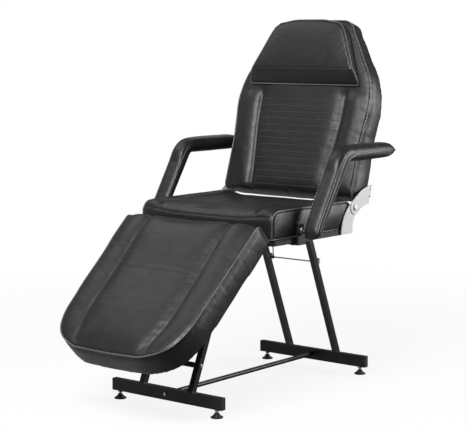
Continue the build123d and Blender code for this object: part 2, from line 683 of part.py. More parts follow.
def seat_hinge_leaf():
    """Curved plate beside the seat that carries the backrest's pivot, with a foot on the board's edge."""
    front = ((575, 531), (592, 592), (630, 632))
    rear = ((668, 602), (646, 575), (640, 531))
    plate = curved_leaf(front, rear, SEAT_LEAF_X)
    foot = box((HALF_WIDTH, SEAT_LEAF_X[0]), (583, 627), (front[0][1], SEAT_BOARD_TOP - 2))
    return plate + foot - disc_yz(BACK_PIVOT, BACK_PIN_RADIUS, (SEAT_LEAF_X[0] - 1, SEAT_LEAF_X[1] + 1))


def back_hinge_leaf():
    """Curved plate that turns with the backrest, with a foot on the edge of its board."""
    upper = ((632, 634), (678, 667), (752, 688))
    lower = ((732, 624), (700, 619), (664, 598))
    plate = curved_leaf(upper, lower, BACK_LEAF_X)
    heights = (BACK_SCREWS[0] - 10, BACK_SCREWS[1] + 4)
    depths = [(back_depth(z) - BACK_BOARD + 1, z) for z in heights]
    depths += [(back_depth(z) - 1, z) for z in reversed(heights)]
    plate += lean_back(plate_yz(depths, (BACK_LOWER_HALF_WIDTH, BACK_LEAF_X[0])))
    pin_hole = (BACK_LEAF_X[0] - 1, BACK_LEAF_X[1] + 1)
    plate -= disc_yz(BACK_PIVOT, BACK_PIN_RADIUS + RUNNING_CLEARANCE, pin_hole)
    for height in BACK_SCREWS:
        depth = back_depth(height) - BACK_BOARD / 2
        hole_x = (BACK_LOWER_HALF_WIDTH - 1, BACK_LEAF_X[1] + 1)
        hole = rod_x(SCREW_RADIUS + HOLE_GAP, hole_x, depth, height)
        plate -= lean_back(hole)
    return plate


def back_hinge_pins():
    outer = BACK_LEAF_X[1]
    pin = rod_x(BACK_PIN_RADIUS, (SEAT_LEAF_X[0] - 2, outer + 4), *BACK_PIVOT)
    head = rod_x(BACK_PIN_HEAD_RADIUS, (outer + 0.3, outer + 4.3), *BACK_PIVOT)
    return pair(pin + fillet(head.faces().sort_by(Axis.X)[-1].edges(), 3))


def back_hinge_screws():
    screws = []
    for height in BACK_SCREWS:
        depth = back_depth(height) - BACK_BOARD / 2
        shank = rod_x(SCREW_RADIUS, (BACK_LOWER_HALF_WIDTH - 19.5, BACK_LEAF_X[1]), depth, height)
        head = rod_x(SCREW_HEAD_RADIUS, (BACK_LEAF_X[1], BACK_LEAF_X[1] + SCREW_HEAD_HEIGHT), depth, height)
        screws.append(lean_back(shank + fillet(head.faces().sort_by(Axis.X)[-1].edges(), 1.5)))
    return group(screws + [mirrored(screw) for screw in screws])


# ---------------------------------------------------------------- pillow

def pillow_strips():
    """Two hook-and-loop strips on the face of the backrest."""
    length = (-STRIP_HALF_LENGTH, STRIP_HALF_LENGTH)
    strips = [box(length, (-1, 0), (z, z + STRIP_WIDTH)) for z in STRIP_HEIGHTS]
    return lean_back(group(strips))


def head_pillow():
    """Trapezoid pillow whose lower band folds back to the face of the backrest."""
    profile = [
        (-PILLOW_GAP, PILLOW_BOTTOM),
        (-PILLOW_LIP, PILLOW_BOTTOM),
        (-PILLOW_DEPTH, PILLOW_FOLD),
        (-PILLOW_DEPTH, PILLOW_TOP - PILLOW_TOP_CHAMFER),
        (-PILLOW_DEPTH + PILLOW_TOP_CHAMFER, PILLOW_TOP),
        (-PILLOW_GAP, PILLOW_TOP),
    ]
    low, high = PILLOW_LOWER_HALF_WIDTH, PILLOW_UPPER_HALF_WIDTH
    body = plate_yz(profile, (-low, low))
    right = [(low, PILLOW_BOTTOM - 1), (low, PILLOW_BOTTOM + 10)]
    right += [(high + 8, PILLOW_SHOULDER), (high - 14, PILLOW_TOP + 1)]
    left = [(-x, z) for x, z in reversed(right)]
    plan = make_face(Polyline(*right, *left, close=True))
    outline = extrude(Plane.XZ.offset(-10) * plan, amount=PILLOW_DEPTH + 30)
    return lean_back(body & outline)


# ---------------------------------------------------------------- all the pieces

def pieces():
    brace, brace_plugs = centre_brace()
    crossbar, crossbar_bolts = front_crossbar()
    rod, clips, caps = tie_rod_parts()
    nodes = {
        "front_floor_beam": floor_beam(FRONT_BEAM_Y),
        "rear_floor_beam": floor_beam(REAR_BEAM_Y),
        "beam_end_caps": beam_end_caps(),
        "centre_brace": brace,
        "brace_plugs": brace_plugs,
        "brace_bolts": brace_bolts(),
        "foot_lock_nuts": lock_nuts(),
        "front_leg_crossbar": crossbar,
        "crossbar_bolts": crossbar_bolts,
        "tie_rod": rod,
        "tie_rod_clips": clips,
        "tie_rod_caps": caps,
        "wire_stay": wire_stay(),
        "front_cross_member": cross_member(CROSS_MEMBERS_Y[0]),
        "rear_cross_member": cross_member(CROSS_MEMBERS_Y[1]),
        "rail_bolts": rail_bolts(),
        "seat_board": seat_board(),
        "seat_cushion": seat_cushion(),
        "arm_bracket_bolts": arm_bracket_bolts(),
        "arm_spacers": arm_spacers(),
        "arm_bolts": arm_bolts(),
        "leg_hinge_pins": leg_hinge_pins(),
        "leg_rest_board": leg_rest_board(),
        "leg_rest_cushion": leg_rest_cushion(),
        "leg_hinge_screws": leg_hinge_screws(),
        "back_hinge_pins": back_hinge_pins(),
        "back_board": back_board(),
        "back_cushion": back_cushion(),
        "back_hinge_screws": back_hinge_screws(),
        "pillow_strips": pillow_strips(),
        "head_pillow": head_pillow(),
    }
    for side, sign in SIDES.items():
        nodes[f"front_{side}_leg"] = leg(sign * LEG_X, FRONT_BEAM_Y, FRONT_LEG_SLOPE)
        nodes[f"rear_{side}_leg"] = leg(sign * LEG_X, REAR_BEAM_Y, REAR_LEG_SLOPE)
        nodes[f"{side}_seat_rail"] = on_side(seat_rail(), sign)
        nodes[f"{side}_arm_bracket"] = on_side(arm_bracket(), sign)
        nodes[f"{side}_arm_pad"] = on_side(arm_pad(), sign)
        nodes[f"{side}_seat_hinge_leaf"] = on_side(seat_hinge_leaf(), sign)
        nodes[f"{side}_back_hinge_leaf"] = on_side(back_hinge_leaf(), sign)
        nodes[f"{side}_leg_hinge_leaf"] = on_side(leg_hinge_leaf(), sign)
        nodes[f"{side}_leg_hinge_arm"] = on_side(leg_hinge_arm(), sign)
        for end, y in (("front", FRONT_BEAM_Y), ("rear", REAR_BEAM_Y)):
            pad, stud = levelling_foot(sign * FOOT_X, y)
            nodes[f"{end}_{side}_foot_pad"] = pad
            nodes[f"{end}_{side}_foot_stud"] = stud
    return nodes


def main():
    os.makedirs("parts", exist_ok=True)
    for name, shape in pieces().items():
        export_step(Pos(0, -ORIGIN_Y, 0) * shape, f"parts/{name}.step")
    print("written")


main()
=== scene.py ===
import json
from collections import namedtuple
from math import atan2, cos, pi, radians, sin

import bmesh
import bpy
import numpy as np
from mathutils import Matrix, Vector
from mathutils.bvhtree import BVHTree
from mathutils.kdtree import KDTree


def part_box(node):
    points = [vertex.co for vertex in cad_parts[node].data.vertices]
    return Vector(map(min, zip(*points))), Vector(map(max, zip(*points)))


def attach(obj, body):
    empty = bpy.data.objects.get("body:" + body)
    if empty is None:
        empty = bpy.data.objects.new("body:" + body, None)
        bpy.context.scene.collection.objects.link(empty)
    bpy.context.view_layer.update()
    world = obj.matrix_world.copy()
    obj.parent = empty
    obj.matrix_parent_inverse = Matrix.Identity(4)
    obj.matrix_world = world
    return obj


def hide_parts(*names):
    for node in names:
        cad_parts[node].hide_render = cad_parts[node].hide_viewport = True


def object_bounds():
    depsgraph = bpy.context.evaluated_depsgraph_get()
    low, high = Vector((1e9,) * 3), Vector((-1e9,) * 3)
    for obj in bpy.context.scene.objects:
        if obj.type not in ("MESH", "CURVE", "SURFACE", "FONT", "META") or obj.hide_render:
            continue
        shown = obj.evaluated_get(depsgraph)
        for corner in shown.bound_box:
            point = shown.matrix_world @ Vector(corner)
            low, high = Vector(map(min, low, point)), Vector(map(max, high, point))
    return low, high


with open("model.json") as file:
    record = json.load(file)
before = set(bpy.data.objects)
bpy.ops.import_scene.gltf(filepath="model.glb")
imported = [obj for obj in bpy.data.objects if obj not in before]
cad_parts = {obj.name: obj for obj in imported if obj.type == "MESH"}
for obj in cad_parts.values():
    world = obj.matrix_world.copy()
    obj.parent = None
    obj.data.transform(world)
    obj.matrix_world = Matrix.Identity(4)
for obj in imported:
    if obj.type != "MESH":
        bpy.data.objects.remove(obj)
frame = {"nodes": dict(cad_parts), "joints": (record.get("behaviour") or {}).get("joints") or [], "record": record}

MM = 0.001
cad_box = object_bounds()
joints = {joint["name"]: joint for joint in frame["joints"]}
leg_joint = joints["leg_rest_lift"]
back_joint = joints["backrest_recline"]
pillow_pull = joints["pillow_lift_off"]["axis"]

# The leg rest's own frame: the hinge is the origin, X is across and -Y runs down the rest when it is level.
LEG_ANGLE = radians(leg_joint["range_deg"][1])
LEG = Matrix.Translation(leg_joint["pos_m"]) @ Matrix.Rotation(LEG_ANGLE, 4, "X")
# The backrest's own frame: the hinge is the origin, Z runs up the back and -Y out of its face.
BACK_LEAN = atan2(pillow_pull[2], -pillow_pull[1])
BACK = Matrix.Translation(back_joint["pos_m"]) @ Matrix.Rotation(-BACK_LEAN, 4, "X")
# The seat and the armrests are built in the common frame.
SEAT = Matrix.Identity(4)
built_pieces = []

VERY_SMALL = 1e-9
WELD = 1e-5
RIPPLE_WAVES = 7
RIPPLE_LENGTHS = (0.6, 1.6)
OUTLINE_STEP = 4 * MM
ANY_DIRECTION = (0.3, 0.5, 0.8)

PIPING = 2.6 * MM
PIPING_LIFT = 0.45
QUILT_PITCH = 24 * MM
QUILT_DEPTH = 0.09 * MM
QUILT_WIDTH = 2.6 * MM
THREAD_RADIUS = 0.55 * MM
THREAD_STEP = 5 * MM
THREAD_FROM_CREASE = 9 * MM


# --- numbers and meshes

def cad_coords(node, place):
    """The points of a CAD node in the frame place."""
    flat = np.array([v.co for v in frame["nodes"][node].data.vertices], float).reshape(-1, 3)
    return transform(flat, place.inverted())


def transform(points, matrix):
    m = np.array(matrix, float)
    return points @ m[:3, :3].T + m[:3, 3]


def local_box(node, place):
    points = cad_coords(node, place)
    return Vector(points.min(0)), Vector(points.max(0))


def unit(vectors):
    return vectors / np.linalg.norm(vectors, axis=1)[:, None]


def ease(x, low, high):
    """0 below low, 1 above high and a smooth rise between them."""
    t = np.clip((x - low) / (high - low), 0, 1)
    return t * t * (3 - 2 * t)


def valley(distance, width):
    """1 on a line and 0 away from it."""
    return np.exp(-((distance / width) ** 2))


def ripple(points, seed, scale):
    """Soft repeatable unevenness between -1 and 1, from a few waves in random directions."""
    rng = np.random.default_rng(seed)
    total = np.zeros(len(points))
    for _ in range(RIPPLE_WAVES):
        direction = rng.normal(size=3)
        direction /= np.linalg.norm(direction)
        wave = 2 * pi / (scale * rng.uniform(*RIPPLE_LENGTHS))
        total += np.sin(points @ direction * wave + rng.uniform(0, 2 * pi))
    return total / RIPPLE_WAVES


def get_coords(mesh, kind="co"):
    """The place of each vertex, or its normal."""
    flat = np.zeros(len(mesh.vertices) * 3)
    mesh.vertices.foreach_get(kind, flat)
    return flat.reshape(-1, 3)


def set_coords(mesh, coords):
    mesh.vertices.foreach_set("co", coords.astype(np.float32).ravel())
    mesh.update()


def new_object(name, data, place=SEAT):
    piece = bpy.data.objects.new(name, data)
    bpy.context.scene.collection.objects.link(piece)
    piece.matrix_world = place
    return piece


def mesh_from(name, points, faces):
    mesh = bpy.data.meshes.new(name)
    mesh.from_pydata([tuple(p) for p in points], [], faces)
    mesh.update()
    return mesh


def evaluated_mesh(piece):
    """A new mesh with the piece's modifiers applied."""
    bpy.context.view_layer.update()
    depsgraph = bpy.context.evaluated_depsgraph_get()
    return bpy.data.meshes.new_from_object(piece.evaluated_get(depsgraph))


def apply_modifiers(piece):
    mesh = evaluated_mesh(piece)
    piece.modifiers.clear()
    piece.data = mesh


def fill_mesh(mesh, bm):
    bm.to_mesh(mesh)
    bm.free()
    return mesh


def welded_bmesh(node, place):
    """A CAD node's mesh in the frame place, with its corners welded."""
    bm = bmesh.new()
    bm.from_mesh(frame["nodes"][node].data)
    bmesh.ops.transform(bm, matrix=place.inverted(), verts=bm.verts)
    bmesh.ops.remove_doubles(bm, verts=bm.verts, dist=WELD)
    return bm


def cad_copy(name, node, place):
    """A CAD node's mesh, in the frame place, as a new object with welded corners."""
    return new_object(name, fill_mesh(bpy.data.meshes.new(name), welded_bmesh(node, place)), place)


def slice_outline(node, place, normal_axis, height, step):
    """The closed line in which a plane cuts a CAD node, as evenly spaced points in the frame place."""
    bm = welded_bmesh(node, place)
    normal = Vector((0, 0, 0))
    normal[normal_axis] = 1
    found = bmesh.ops.bisect_plane(
        bm, geom=bm.verts[:] + bm.edges[:] + bm.faces[:], plane_co=normal * height, plane_no=normal
    )
    cut = [e for e in found["geom_cut"] if isinstance(e, bmesh.types.BMEdge)]
    neighbours = {}
    for edge in cut:
        a, b = edge.verts
        neighbours.setdefault(a, []).append(b)
        neighbours.setdefault(b, []).append(a)
    start = min(neighbours, key=lambda v: tuple(round(x, 5) for x in v.co))
    loop, previous, at = [start], None, start
    while True:
        ahead = [v for v in neighbours[at] if v is not previous and v is not at]
        if not ahead or ahead[0] is start:
            break
        previous, at = at, ahead[0]
        loop.append(at)
    points = np.array([v.co for v in loop], float)
    bm.free()
    return resample(points, step, closed=True)


def line_lengths(points):
    """How far along a line each of its points lies."""
    return np.r_[0, np.cumsum(np.linalg.norm(np.diff(points, axis=0), axis=1))]


def points_along(points, lengths, at):
    return np.stack([np.interp(at, lengths, points[:, i]) for i in range(3)], 1)


def resample(points, step, closed=False):
    """The same line with evenly spaced points."""
    points = np.asarray(points, float)
    if closed:
        points = np.vstack([points, points[:1]])
    lengths = line_lengths(points)
    keep = np.r_[True, np.diff(lengths) > VERY_SMALL]
    points, lengths = points[keep], lengths[keep]
    count = max(3, int(round(lengths[-1] / step)))
    at = np.linspace(0, lengths[-1], count + 1)
    if closed:
        at = at[:-1]
    return points_along(points, lengths, at)


def from_gap(points):
    """What is left of a closed line, as an open line that starts after the gap."""
    split = max(range(len(points)), key=lambda i: np.linalg.norm(points[i] - points[i - 1]))
    return np.array(points[split:] + points[:split])


def seam_round_corners(side, corner):
    """A seam that runs along side and, at both of its ends, round a corner of the cushion."""
    first, last = [corner(np.sign(x)) for x in (side[0, 0], side[-1, 0])]
    return resample(np.vstack([first[::-1], side, last]), OUTLINE_STEP)


def ring_faces(count, sides, closed=False):
    """Faces between count rings of sides points each, capped at both ends unless the rings form a loop."""
    faces = []
    for i in range(count if closed else count - 1):
        j = (i + 1) % count
        for k in range(sides):
            n = (k + 1) % sides
            faces.append((i * sides + k, i * sides + n, j * sides + n, j * sides + k))
    if not closed:
        faces.append(tuple(reversed(range(sides))))
        faces.append(tuple((count - 1) * sides + k for k in range(sides)))
    return faces


def tube_shape(points, radius, closed=False, sides=10):
    """The points and faces of a round cord along points, with flat ends."""
    points = np.asarray(points, float)
    count = len(points)
    along = np.roll(points, -1, 0) - np.roll(points, 1, 0) if closed else np.gradient(points, axis=0)
    along = unit(along)
    side = np.cross(along[0], ANY_DIRECTION)
    rings = []
    for i in range(count):
        side = side - along[i] * (side @ along[i])
        side /= np.linalg.norm(side)
        across = np.cross(along[i], side)
        for k in range(sides):
            angle = 2 * pi * k / sides
            rings.append(points[i] + radius * (side * cos(angle) + across * sin(angle)))
    return rings, ring_faces(count, sides, closed)


def joined_tubes(name, lines, radius):
    """One mesh of many thin cords."""
    points, faces = [], []
    for line in lines:
        rings, ends = tube_shape(line, radius, sides=6)
        faces += [tuple(len(points) + i for i in face) for face in ends]
        points += rings
    return mesh_from(name, points, faces)


def surface_tree(piece):
    corners = [v.co.copy() for v in piece.data.vertices]
    return BVHTree.FromPolygons(corners, [tuple(p.vertices) for p in piece.data.polygons])


def finish_piece(piece, body, material, replaces=()):
    """What every new piece needs: material, smooth shading, body and what it stands for."""
    piece.data.materials.clear()
    piece.data.materials.append(material)
    piece.data.shade_smooth()
    built_pieces.append(piece)
    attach(piece, body)
    if replaces:
        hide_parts(*replaces)


def settle_pieces():
    """Writes pieces built in a leaning frame into the common frame, so that their boxes are true."""
    for piece in built_pieces:
        piece.data.transform(piece.matrix_world)
        piece.matrix_world = Matrix.Identity(4)


# --- materials

# the range in which nearly all of a noise texture's values lie
NOISE_LOW, NOISE_HIGH = 0.3, 0.7
# scales of the noise textures, in cells per metre or so
VINYL_CLOUDS, VINYL_GLOSS, VINYL_SLACK, VINYL_PEBBLES, VINYL_PORES = 9, 60, 34, 720, 2600
PAINT_SCALES = (22, 140, 900)
ZINC_STREAKS, ZINC_PATCHES = 700, 120
PLASTIC_SCALES = (40, 300, 1500)
CLOTH_FIBRES, CLOTH_FOLDS = 1400, 180


def add_node(tree, kind, **values):
    """A new shader node, with its inputs set by name."""
    node = tree.nodes.new("ShaderNode" + kind)
    for name, value in values.items():
        node.inputs[name.replace("_", " ")].default_value = value
    return node


def node_material(name, color, roughness, metallic=0.0):
    """A new material, its node tree, its shader and the position in the object as a socket."""
    material = bpy.data.materials.new(name)
    material.use_nodes = True
    shader = material.node_tree.nodes["Principled BSDF"]
    shader.inputs["Base Color"].default_value = (*color, 1)
    shader.inputs["Roughness"].default_value = roughness
    shader.inputs["Metallic"].default_value = metallic
    position = add_node(material.node_tree, "TexCoord").outputs["Object"]
    return material, material.node_tree, shader, position


def noise_texture(tree, position, scale, detail=3.0, stretch=None):
    noise = add_node(tree, "TexNoise", Scale=scale, Detail=detail)
    if stretch:
        mapping = add_node(tree, "Mapping", Scale=stretch)
        tree.links.new(position, mapping.inputs["Vector"])
        position = mapping.outputs["Vector"]
    tree.links.new(position, noise.inputs["Vector"])
    return noise.outputs["Fac"]


def vary_gloss(tree, value, low, high, shader):
    """Feeds the roughness with value, stretched from its middle range to low..high."""
    spread = add_node(tree, "MapRange", From_Min=NOISE_LOW, From_Max=NOISE_HIGH, To_Min=low, To_Max=high)
    tree.links.new(value, spread.inputs["Value"])
    tree.links.new(spread.outputs["Result"], shader.inputs["Roughness"])


def vary_color(tree, value, dark, light, shader):
    ramp = add_node(tree, "ValToRGB")
    for stop, place, color in zip(ramp.color_ramp.elements, (NOISE_LOW, NOISE_HIGH), (dark, light)):
        stop.position = place
        stop.color = (*color, 1)
    tree.links.new(value, ramp.inputs["Fac"])
    tree.links.new(ramp.outputs["Color"], shader.inputs["Base Color"])


def add_bump(tree, height, distance, strength, below=None):
    bump = add_node(tree, "Bump", Distance=distance, Strength=strength)
    tree.links.new(height, bump.inputs["Height"])
    if below is not None:
        tree.links.new(below, bump.inputs["Normal"])
    return bump.outputs["Normal"]


def leather(name, dark, light, roughness=(0.36, 0.5), grain=0.55, slack=0.5):
    """Black upholstery vinyl: pebbled grain, fine pores, faint slack and uneven gloss."""
    material, tree, shader, position = node_material(name, light, roughness[0])
    cloudy = noise_texture(tree, position, VINYL_CLOUDS, 4)
    vary_color(tree, cloudy, dark, light, shader)
    vary_gloss(tree, noise_texture(tree, position, VINYL_GLOSS, 4), *roughness, shader)
    pebbles = add_node(tree, "TexVoronoi", Scale=VINYL_PEBBLES)
    pebbles.feature = "SMOOTH_F1"
    pebbles.inputs["Smoothness"].default_value = 0.45
    tree.links.new(position, pebbles.inputs["Vector"])
    loose = add_bump(tree, noise_texture(tree, position, VINYL_SLACK, 3), 1.2 * MM, slack)
    pebbled = add_bump(tree, pebbles.outputs["Distance"], 0.22 * MM, grain, loose)
    normal = add_bump(tree, noise_texture(tree, position, VINYL_PORES, 2), 0.06 * MM, 0.4, pebbled)
    tree.links.new(normal, shader.inputs["Normal"])
    return material


def hard_coat(name, dark, light, roughness, scales=PAINT_SCALES, detail=(4, 4, 2), relief=0.09 * MM):
    """Powder coat or moulded plastic: faint clouds, slight differences in gloss and a fine grain."""
    material, tree, shader, position = node_material(name, light, roughness[0])
    clouds, gloss, grain = [noise_texture(tree, position, *pair) for pair in zip(scales, detail)]
    vary_color(tree, clouds, dark, light, shader)
    vary_gloss(tree, gloss, *roughness, shader)
    tree.links.new(add_bump(tree, grain, relief, 0.5), shader.inputs["Normal"])
    return material


def zinc_plate(name):
    """Bright zinc: brushed streaks and dull patches."""
    material, tree, shader, position = node_material(name, (0.72, 0.73, 0.75), 0.3, 1.0)
    streaks = noise_texture(tree, position, ZINC_STREAKS, 3, (0.05, 1, 1))
    vary_gloss(tree, streaks, 0.22, 0.42, shader)
    patches = noise_texture(tree, position, ZINC_PATCHES, 4)
    vary_color(tree, patches, (0.55, 0.56, 0.58), (0.78, 0.79, 0.8), shader)
    tree.links.new(add_bump(tree, streaks, 0.03 * MM, 0.5), shader.inputs["Normal"])
    return material


def felted_cloth(name, color):
    """Non-woven cloth or hook-and-loop tape: fibres in all directions, no gloss."""
    material, tree, shader, position = node_material(name, color, 0.9)
    shader.inputs["Sheen Weight"].default_value = 0.25
    fibres = noise_texture(tree, position, CLOTH_FIBRES, 5)
    darker = tuple(c * 0.5 for c in color)
    vary_color(tree, fibres, darker, color, shader)
    crossing = add_bump(tree, fibres, 0.3 * MM, 0.8)
    normal = add_bump(tree, noise_texture(tree, position, CLOTH_FOLDS, 3), 0.4 * MM, 0.4, crossing)
    tree.links.new(normal, shader.inputs["Normal"])
    return material


VINYL = leather("black_vinyl", (0.0135, 0.0135, 0.014), (0.019, 0.019, 0.02), (0.34, 0.46))
VINYL_SIDE = leather("black_vinyl_side", (0.012, 0.012, 0.012), (0.017, 0.017, 0.0175), (0.42, 0.56))
# the piping is black vinyl; its light grey colour is a painted highlight along the seams
PIPING_VINYL_PAINTED_HIGHLIGHT = leather("piping_vinyl_painted_highlight", (0.1, 0.1, 0.1), (0.16, 0.16, 0.163), (0.16, 0.24), 0.2, 0.1)
BLACK_STEEL = hard_coat("black_powder_coat", (0.01, 0.01, 0.0105), (0.017, 0.017, 0.018), (0.3, 0.42))
SILVER_STEEL = hard_coat("silver_powder_coat", (0.88, 0.885, 0.89), (0.95, 0.95, 0.955), (0.3, 0.4))
ZINC = zinc_plate("zinc_plate")
PLASTIC = hard_coat("black_plastic", (0.014,) * 3, (0.024,) * 3, (0.4, 0.58), PLASTIC_SCALES, (3, 3, 2),
                    0.08 * MM)
STRIP = felted_cloth("hook_and_loop", (0.02, 0.02, 0.02))
DUST_COVER = felted_cloth("dust_cover_cloth", (0.03, 0.03, 0.032))
# the sewn rows use black thread; its light grey colour is a painted highlight along each row
THREAD_PAINTED_HIGHLIGHT = felted_cloth("black_thread_painted_highlight", (0.11, 0.11, 0.112))

CAD_MATERIALS = {"black_steel": BLACK_STEEL, "silver_steel": SILVER_STEEL, "zinc": ZINC,
                 "black_plastic": PLASTIC, "black_strip": STRIP, "board": VINYL_SIDE}


def dress_cad_nodes():
    """Gives every CAD node that stays in sight the material of its slot."""
    slots = {part["node"]: part["material_slot"] for part in frame["record"]["subparts"]}
    for name, piece in frame["nodes"].items():
        material = CAD_MATERIALS.get(slots[name])
        if material:
            piece.data.materials.clear()
            piece.data.materials.append(material)


# --- soft pieces

COVER_INSET = 16 * MM
COVER_THICKNESS = 0.6 * MM
COVER_RINGS = 16
STAPLE_PITCH = 42 * MM
STAPLE_HALF = 5 * MM
STAPLE_WIRE = 0.45 * MM
COVER_STEP = 12 * MM
COVER_MIDDLE = 0.04
COVER_SEED, COVER_WAVE = 41, 60 * MM
LEAST_INSET = 0.96
STAPLE_INSET = 5 * MM
STAPLE_LIFT = 1.6
STAPLE_BENDS = ((-1, -1), (-1, 0), (-0.8, 0.3), (0.8, 0.3), (1, 0), (1, -1))

# the cloth simulation, and how much of its finest wrinkles is kept
FRAMES = 20
PRESSURE = 4.0
CLOTH_QUALITY = 4
CLOTH_MASS = 0.3
CLOTH_SLACK = -0.004
LEAST_WEIGHT = 0.02
CALMING_ROUNDS = 14
WRINKLES = 0.45

VOXEL = 6 * MM
SLICE_DEPTH = 30 * MM
SEAM_CLEAR, FACE_CLEAR, PUCKER_CLEAR = (8 * MM, 30 * MM), (5 * MM, 30 * MM), (20 * MM, 60 * MM)
PANEL_EDGE = (4 * MM, 14 * MM)
PINNED_HALF = 6 * MM
STAPLED_STRIP = 8 * MM
PUCKER_DRIFT = 2.5
UNEVEN, UNEVEN_LENGTH = 0.9 * MM, 90 * MM
MEETING_SWELL = 1.3 * MM
SWELL_RANGE = 6 * MM
GUTTER_DEPTH, GUTTER_AT, GUTTER_WIDTH = 2.2 * MM, 5 * MM, 3.5 * MM
UNDERCUT_DEPTH, UNDERCUT_AT, UNDERCUT_WIDTH = 2.6 * MM, 11 * MM, 8 * MM
RAY_START = 60 * MM
# how far a normal must turn to a cushion's face to count as the face, not the boxing
FACING = (0.5, 0.9)
# the cover at a crease: the fold itself, the slope beside it and the gathers
Crease = namedtuple("Crease", "fold fold_width slope slope_at slope_width pucker gather_pitch gather_width "
                              "gather_drift seeds")


def spread_out(values, mesh, rounds):
    """Evens out a value at each vertex with its neighbours."""
    ends = np.zeros(len(mesh.edges) * 2, int)
    mesh.edges.foreach_get("vertices", ends)
    ends = ends.reshape(-1, 2)
    count = np.bincount(ends.ravel(), minlength=len(values)).astype(float)
    for _ in range(rounds):
        total = np.zeros_like(values)
        for axis in range(values.shape[1]):
            total[:, axis] += np.bincount(ends[:, 0], values[ends[:, 1], axis], len(values))
            total[:, axis] += np.bincount(ends[:, 1], values[ends[:, 0], axis], len(values))
        values = 0.5 * values + 0.5 * total / np.maximum(count, 1)[:, None]
    return values


def inflate(piece, pinned, reach):
    """Swells a closed piece with a cloth simulation and keeps each point within reach of where it started."""
    group = piece.vertex_groups.new(name="sewn")
    for index, weight in enumerate(pinned):
        if weight > LEAST_WEIGHT:
            group.add([index], float(min(1, weight)), "REPLACE")
    cloth = piece.modifiers.new("swell", "CLOTH")
    cloth.settings.quality = CLOTH_QUALITY
    cloth.settings.mass = CLOTH_MASS
    cloth.settings.use_pressure = True
    cloth.settings.uniform_pressure_force = PRESSURE
    cloth.settings.effector_weights.gravity = 0
    cloth.settings.vertex_group_mass = group.name
    cloth.settings.shrink_min = CLOTH_SLACK
    cloth.point_cache.frame_start = 1
    cloth.point_cache.frame_end = FRAMES
    scene = bpy.context.scene
    for number in range(1, FRAMES + 1):
        scene.frame_set(number)
    swollen = evaluated_mesh(piece)
    start = get_coords(piece.data)
    move = get_coords(swollen) - start
    calm = spread_out(move, piece.data, CALMING_ROUNDS)
    move = WRINKLES * move + (1 - WRINKLES) * calm
    length = np.linalg.norm(move, axis=1)[:, None]
    capped = reach * np.tanh(length / reach)
    piece.modifiers.clear()
    piece.vertex_groups.clear()
    set_coords(piece.data, start + move * capped / np.maximum(length, VERY_SMALL))
    bpy.data.meshes.remove(swollen)
    scene.frame_set(1)


def remesh(piece, voxel, smoothing):
    """Gives the piece an even grid of faces and softens its corners."""
    grid = piece.modifiers.new("even", "REMESH")
    grid.mode = "VOXEL"
    grid.voxel_size = voxel
    soft = piece.modifiers.new("soft", "SMOOTH")
    soft.iterations = smoothing
    apply_modifiers(piece)


def subdivide(piece):
    """Splits each face in four and gives the new vertices' places and normals."""
    finer = piece.modifiers.new("finer", "SUBSURF")
    finer.levels = 1
    finer.render_levels = 1
    apply_modifiers(piece)
    return get_coords(piece.data), get_coords(piece.data, "normal")


def add_quilting(name, piece, rows, half_width, on_panel, body, place, face):
    """Fine sewn lines across a panel: one thin thread for each row, laid on the finished surface."""
    tree = surface_tree(piece)
    inward = Vector((0, 0, 0))
    inward[face[0]] = -face[1]
    lines = []
    for row in rows:
        reach = half_width(row) - THREAD_FROM_CREASE
        hits = []
        for u in np.arange(-reach, reach, THREAD_STEP):
            hit = tree.ray_cast(Vector(on_panel(u, row)) - inward * RAY_START, inward)[0]
            if hit is not None:
                hits.append(hit - inward * THREAD_RADIUS * 0.5)
        lines.append(hits)
    threads = new_object(name, joined_tubes(name, lines, THREAD_RADIUS), place)
    # the threads' light grey colour is a painted highlight along the sewn rows
    finish_piece(threads, body, THREAD_PAINTED_HIGHLIGHT)


def seam_tree(lines):
    points = np.vstack(lines)
    tree = KDTree(len(points))
    for index, point in enumerate(points):
        tree.insert(point, index)
    tree.balance()
    return tree


def seam_distance(coords, tree):
    return np.array([tree.find(Vector(c))[2] for c in coords])


def on_surface(piece, line, lift, closed, rounds):
    """Moves a line's points to the nearest place on the piece, lifted a little off it, by an even move."""
    tree = surface_tree(piece)
    moved = []
    for point in line:
        place, normal, _, _ = tree.find_nearest(Vector(point))
        moved.append(place + normal * lift)
    move = np.array(moved) - line
    for _ in range(rounds):
        evened = (np.roll(move, 1, 0) + 2 * move + np.roll(move, -1, 0)) / 4
        if not closed:
            evened[0], evened[-1] = move[0], move[-1]
        move = evened
    return line + move


def add_piping(name, piece, line, body, place, radius=PIPING, closed=False, rounds=10):
    """A piping cord on a soft piece's seam."""
    points = on_surface(piece, line, radius * PIPING_LIFT, closed, rounds)
    cord = new_object(name, mesh_from(name, *tube_shape(points, radius, closed)), place)
    # the cord's light grey colour is a painted highlight on black piping
    finish_piece(cord, body, PIPING_VINYL_PAINTED_HIGHLIGHT)


def round_edge(across, along, radius):
    """Points of the square corner region (0..radius in both) brought onto a quarter circle."""
    distance = np.hypot(across, along)
    inside = (across > 0) & (along > 0) & (distance > radius)
    factor = np.where(inside, radius / np.maximum(distance, VERY_SMALL), 1)
    return across * factor, along * factor


def gutter(distance):
    """How deep the cover dips beside its piping."""
    return GUTTER_DEPTH * valley(distance - GUTTER_AT, GUTTER_WIDTH)


def undercut(distance, facing):
    """How deep the boxing draws in below its piping; facing is 1 on the face and 0 on the boxing."""
    return UNDERCUT_DEPTH * (1 - facing) * valley(distance - UNDERCUT_AT, UNDERCUT_WIDTH)


def sewn_weight(distance):
    """1 on a seam, where the simulation can't move the cover, and 0 away from it."""
    return 1 - ease(distance, 3 * MM, 9 * MM)


def quilt_groove(along):
    """How deep the panel dips at its sewn rows."""
    return QUILT_DEPTH * valley(np.abs((along / QUILT_PITCH + 0.5) % 1 - 0.5) * QUILT_PITCH, QUILT_WIDTH)


